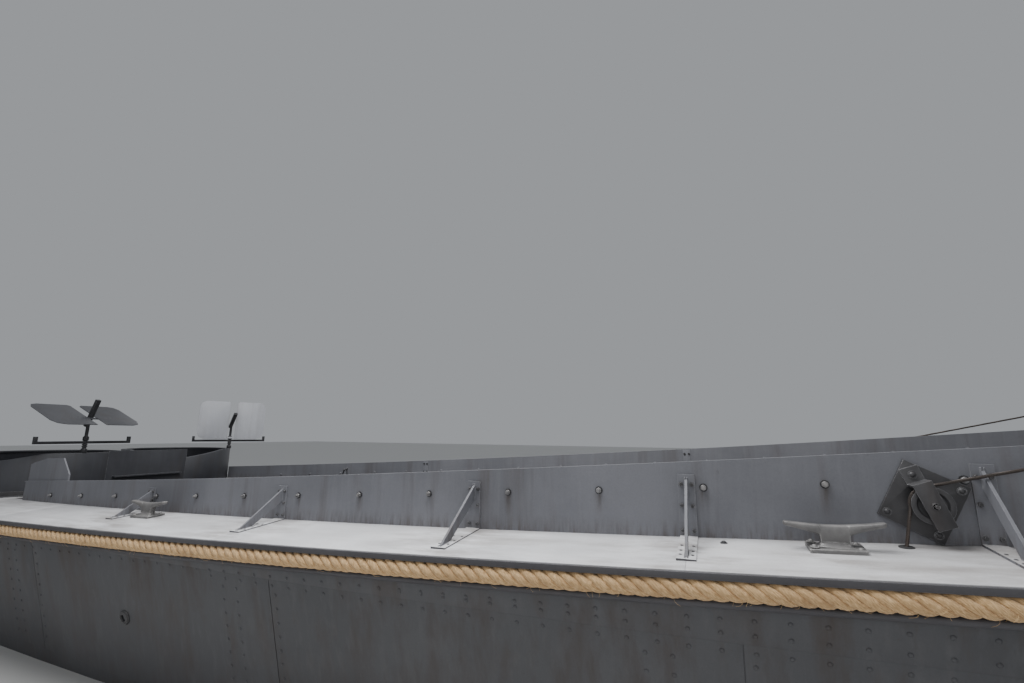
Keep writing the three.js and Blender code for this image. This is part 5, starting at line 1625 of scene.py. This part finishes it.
# %% Engine box details
BOX = {"aft": station(0.95), "fore": station(3.05), "half": 0.550, "lid": 1.030}
LOUVRE = {"count": 7, "pitch": 0.045, "long": 0.34, "deep": 0.014, "low": 0.42, "tall": 0.034}
LOUVRE_CENTRES = (1.5, 2.5)
BATTENS = (0.28, 0.72)
BATTEN = {"half": 0.028, "inner": 0.030, "outer": 0.520, "tall": 0.012}
HINGE_STRAP = {"aft": 0.045, "fore": 0.085, "inner": 0.440, "outer": 0.556, "tall": 0.005}
HANDLE = {"half": 0.055, "rise": 0.036, "y": 0.075, "radius": 0.006, "steps": 14}
HANDLE_FOOT = [(0, 0), (0.015, 0), (0.015, 0.003), (0.008, 0.006), (0, 0.006)]
SUNK = 0.001
for name, side in SIDES.items():
    louvres = []
    for centre in LOUVRE_CENTRES:
        for i in range(LOUVRE["count"]):
            z = LOUVRE["low"] + LOUVRE["pitch"] * i
            x = station(centre) - LOUVRE["long"] / 2
            inner, outer = side * (BOX["half"] - SUNK), side * (BOX["half"] + LOUVRE["deep"])
            wedge = [Vector((x, inner, z)), Vector((x, outer, z)),
                     Vector((x, inner, z + LOUVRE["tall"]))]
            louvres.append(bevel(slab(wedge, (LOUVRE["long"], 0, 0)), 0.0015, 2))
    hand_over(smooth(merge(louvres)), f"box_louvres_{name}", WELL_PAINT)

    lid_body = body_of(f"engine_lid_{name}")
    trim = []
    for t in BATTENS:
        x = BOX["aft"] + (BOX["fore"] - BOX["aft"]) * t
        low = BOX["lid"] - SUNK
        ends = sorted((side * BATTEN["inner"], side * BATTEN["outer"]))
        trim.append(block((x - BATTEN["half"], ends[0], low),
                          (x + BATTEN["half"], ends[1], BOX["lid"] + BATTEN["tall"]), 0.003))
        ends = sorted((side * HINGE_STRAP["inner"], side * HINGE_STRAP["outer"]))
        trim.append(block((x + HINGE_STRAP["aft"], ends[0], low),
                          (x + HINGE_STRAP["fore"], ends[1], BOX["lid"] + HINGE_STRAP["tall"]), 0.0015))
    hand_over(merge(trim), f"lid_battens_{name}", WELL_PAINT, lid_body)
    middle = (BOX["aft"] + BOX["fore"]) / 2
    arch = []
    for i in range(HANDLE["steps"] + 1):
        angle = pi * i / HANDLE["steps"]
        arch.append(Vector((middle + HANDLE["half"] * cos(angle), side * HANDLE["y"],
                            BOX["lid"] - SUNK + HANDLE["rise"] * sin(angle))))
    rings = [wire(arch, HANDLE["radius"], 10)]
    for k in (-1, 1):
        spot = (middle + HANDLE["half"] * k, side * HANDLE["y"], BOX["lid"])
        rings.append(turned(HANDLE_FOOT, spot, (0, 0, 1), 16))
    hand_over(merge(rings), f"lid_handle_{name}", DARK_PAINT, lid_body)
print("louvres", LOUVRE["count"] * 4)

# %% [markdown]
# The helm stand carries two blank dials on its aft face and a pair of levers on top, and the wheel
# has turned grips. The winch drum is wound with wire and has a crank and a gear.

# %% Helm and winch details
HELM = {"x": station(1.5), "y": 0.850, "wheel_x": station(1.43), "wheel_z": 0.815, "radius": 0.195}
DIAL = [(0, 0), (0.040, 0), (0.040, 0.010), (0.035, 0.014), (0.033, 0.010), (0, 0.010)]
DIAL_PLACE = {"across": 0.105, "z": 0.935}
dials = []
for k in (-1, 1):
    spot = (HELM["x"] + SUNK, HELM["y"] + k * DIAL_PLACE["across"], DIAL_PLACE["z"])
    dials.append(turned(DIAL, spot, (-1, 0, 0), 32))
hand_over(merge(dials), "helm_dials", DARK_PAINT)
KNOB = [(0, -0.014), (0.010, -0.010), (0.014, 0), (0.010, 0.010), (0, 0.014)]
GATE = [(0, 0), (0.024, 0), (0.020, 0.010), (0, 0.012)]
LEVER = {"fore": 0.12, "foot_z": 0.999, "tall": 0.13, "radius": 0.006}
LEVER_LEANS = ((-0.06, 0.05), (0.06, -0.02))
levers = []
for dy, lean in LEVER_LEANS:
    foot = Vector((HELM["x"] + LEVER["fore"], HELM["y"] + dy, LEVER["foot_z"]))
    tip = foot + Vector((lean, 0, LEVER["tall"]))
    levers += [wire([foot, foot.lerp(tip, 0.5), tip], LEVER["radius"], 10),
               turned(KNOB, tip, (0, 0, 1), 16), turned(GATE, foot, (0, 0, 1), 20)]
hand_over(merge(levers), "helm_levers", DARK_PAINT)
GRIP = [(0, 0), (0.009, 0.001), (0.0115, 0.014), (0.013, 0.028), (0.009, 0.038), (0, 0.040)]
SPOKES = 5
GRIP_FOOT = HELM["radius"] + 0.006
hub = Vector((HELM["wheel_x"], HELM["y"], HELM["wheel_z"]))
grips = []
for i in range(SPOKES):
    angle = 2 * pi * i / SPOKES
    out = Vector((0, cos(angle), sin(angle)))
    grips.append(turned(GRIP, hub + out * GRIP_FOOT, out, 14))
hand_over(merge(grips), "wheel_grips", BOARDS, body_of("helm_wheel"))

WINCH = Vector((station(2.76), -0.790, 0.520))
DRUM = {"radius": 0.060, "half": 0.136, "wire": 0.0058, "margin": 0.012}
COIL_STEPS = 28
COIL_RADIUS = DRUM["radius"] + DRUM["wire"] * 0.9
coil_long = 2 * (DRUM["half"] - DRUM["margin"])
turns = int(coil_long / (2.1 * DRUM["wire"]))
coil = []
for i in range(turns * COIL_STEPS + 1):
    angle = 2 * pi * i / COIL_STEPS
    y = -DRUM["half"] + DRUM["margin"] + coil_long * i / (turns * COIL_STEPS)
    coil.append(WINCH + Vector((COIL_RADIUS * cos(angle), y, COIL_RADIUS * sin(angle))))
windings = wire(coil, DRUM["wire"], 6, uv=(turns * 3.0, 1.0))
hand_over(windings, "winch_windings", WIRE_STEEL)
CHEEK = WINCH - Vector((0, 0.171, 0))
ARM_END = CHEEK + Vector((0.10, -0.040, 0.16))
GEAR = {"teeth": 28, "tip": 0.078, "root": 0.070, "off": 0.004, "thick": 0.016}
outline = []
for i in range(GEAR["teeth"] * 2):
    radius = GEAR["tip"] if i % 2 else GEAR["root"]
    for k in (0.15, 0.85):
        angle = 2 * pi * (i + k) / (GEAR["teeth"] * 2)
        outline.append(CHEEK + Vector((radius * cos(angle), -GEAR["off"], radius * sin(angle))))
spindle = rod(CHEEK + Vector((0, 0.01, 0)), CHEEK - Vector((0, 0.045, 0)), 0.014, 16)
arm = wire([CHEEK - Vector((0, 0.040, 0)), ARM_END], 0.009, 10)
grip = wire([ARM_END + Vector((0, 0.004, 0)), ARM_END - Vector((0, 0.05, 0))], 0.012, 12)
gear = slab(outline, (0, -GEAR["thick"], 0))
crank = merge([spindle, arm, grip, gear])
hand_over(smooth(crank), "winch_crank", DARK_PAINT)
print("winch turns", turns)

# %% [markdown]
# The ramp's outside is framed. Rivets follow its ribs, and shackles hang in the eyes at its top
# corners. All of it rides with the ramp.

# %% Ramp details
ON_RAMP = Matrix.Translation(RAMP_FOOT) @ Matrix.Rotation(RAMP_LEAN, 4, "Y")
RIB = {"out": 0.058, "wide": 0.060, "cross": [0.034, 0.560, 1.110, 1.660, 2.140],
       "upright": [-0.985, -0.335, 0.335, 0.985], "cross_sunk": 0.004, "clear": 0.05}
CROSS_RIVETS = {"half": 0.93, "count": 14}
UPRIGHT_RIVETS = {"low": 0.13, "long": 1.95, "count": 15}


def on_rib(out, y, z):
    return ON_RAMP @ stand_on((out, y, z), (1, 0, 0), (0, 1, 0))


rib_heads = []
for z in RIB["cross"]:
    for i in range(CROSS_RIVETS["count"] + 1):
        y = CROSS_RIVETS["half"] * (2 * i / CROSS_RIVETS["count"] - 1)
        rib_heads.append(on_rib(RIB["out"] - RIB["cross_sunk"], y, z + RIB["wide"] / 2))
for y in RIB["upright"]:
    for i in range(UPRIGHT_RIVETS["count"] + 1):
        z = UPRIGHT_RIVETS["low"] + UPRIGHT_RIVETS["long"] * i / UPRIGHT_RIVETS["count"]
        if min(abs(z - low - RIB["wide"] / 2) for low in RIB["cross"]) > RIB["clear"]:
            rib_heads.append(on_rib(RIB["out"], y, z))
fasteners("ramp_rivets", RIVET, rib_heads, PLATE_PAINT, "ramp")
SHACKLE = {"half": 0.017, "leg": -0.036, "bend": -0.049, "bulge": 0.018, "steps": 12,
           "pin": -0.040, "pin_half": 0.024, "radius": 0.004, "pin_radius": 0.005}
shackles = []
for side in SIDES.values():
    y, z = side * RAMP_EYE["half"], RAMP_EYE["along"]
    bow = [Vector((SHACKLE["leg"], y + SHACKLE["half"], z))]
    for i in range(SHACKLE["steps"] + 1):
        angle = pi * i / SHACKLE["steps"]
        bow.append(Vector((SHACKLE["bend"] - SHACKLE["bulge"] * sin(angle),
                           y + SHACKLE["half"] * cos(angle), z)))
    bow.append(Vector((SHACKLE["leg"], y - SHACKLE["half"], z)))
    shackles.append(wire([ON_RAMP @ p for p in bow], SHACKLE["radius"], 8))
    ends = [ON_RAMP @ Vector((SHACKLE["pin"], y + k * SHACKLE["pin_half"], z)) for k in (-1, 1)]
    shackles.append(rod(ends[0], ends[1], SHACKLE["pin_radius"], 12))
hand_over(merge(shackles), "ramp_shackles", BOLT_STEEL, "ramp")
print("ramp rivets", len(rib_heads))

# %% [markdown]
# At the stern a rubbing strip and a sill cross the transom, each held by a row of bolts, and
# flanges lie under the vents.

# %% Transom and vent trim
TRANSOM_FACE = TRANSOM - 0.012
TRANSOM_INSIDE = TRANSOM + 0.002
TRANSOM_BARS = [{"half": 1.30, "low": 0.665, "high": 0.735, "edge": 0.005},
                {"half": 1.10, "low": 0.150, "high": 0.200, "edge": 0.004}]
TRANSOM_BOLTS = {"first": -1.05, "pitch": 0.21, "count": 11, "rows": (0.700, 0.175)}
bars = [block((TRANSOM_FACE, -row["half"], row["low"]), (TRANSOM_INSIDE, row["half"], row["high"]),
              row["edge"]) for row in TRANSOM_BARS]
hand_over(merge(bars), "transom_strips", HULL_PAINT)
across = [TRANSOM_BOLTS["first"] + TRANSOM_BOLTS["pitch"] * i for i in range(TRANSOM_BOLTS["count"])]
heads = [stand_on((TRANSOM_FACE, y, z), (-1, 0, 0), (0, 1, 0))
         for z in TRANSOM_BOLTS["rows"] for y in across]
fasteners("transom_bolts", ROUND_BOLT, heads, HULL_PAINT)
FLANGE = [(0, 0), (0.062, 0), (0.062, 0.004), (0.046, 0.006), (0, 0.006)]
VENT = {"at": -0.35, "out": 0.190}
pads = []
for side in SIDES.values():
    x = station(VENT["at"])
    y = side * (coaming_half(x) + VENT["out"])
    pads.append(turned(FLANGE, (x, y, deck_at(x, y)), (0, side * CAMBER, 1), 28))
hand_over(merge(pads), "vent_flanges", VENT_PAINT)
print("transom bolts", len(heads))

# %% [markdown]
# The fastener templates were only patterns for the copies. They lie at the origin and ride on no
# body, so they go before the scene is finished.

# %% Remove the templates
for template in templates:
    bpy.data.objects.remove(template)
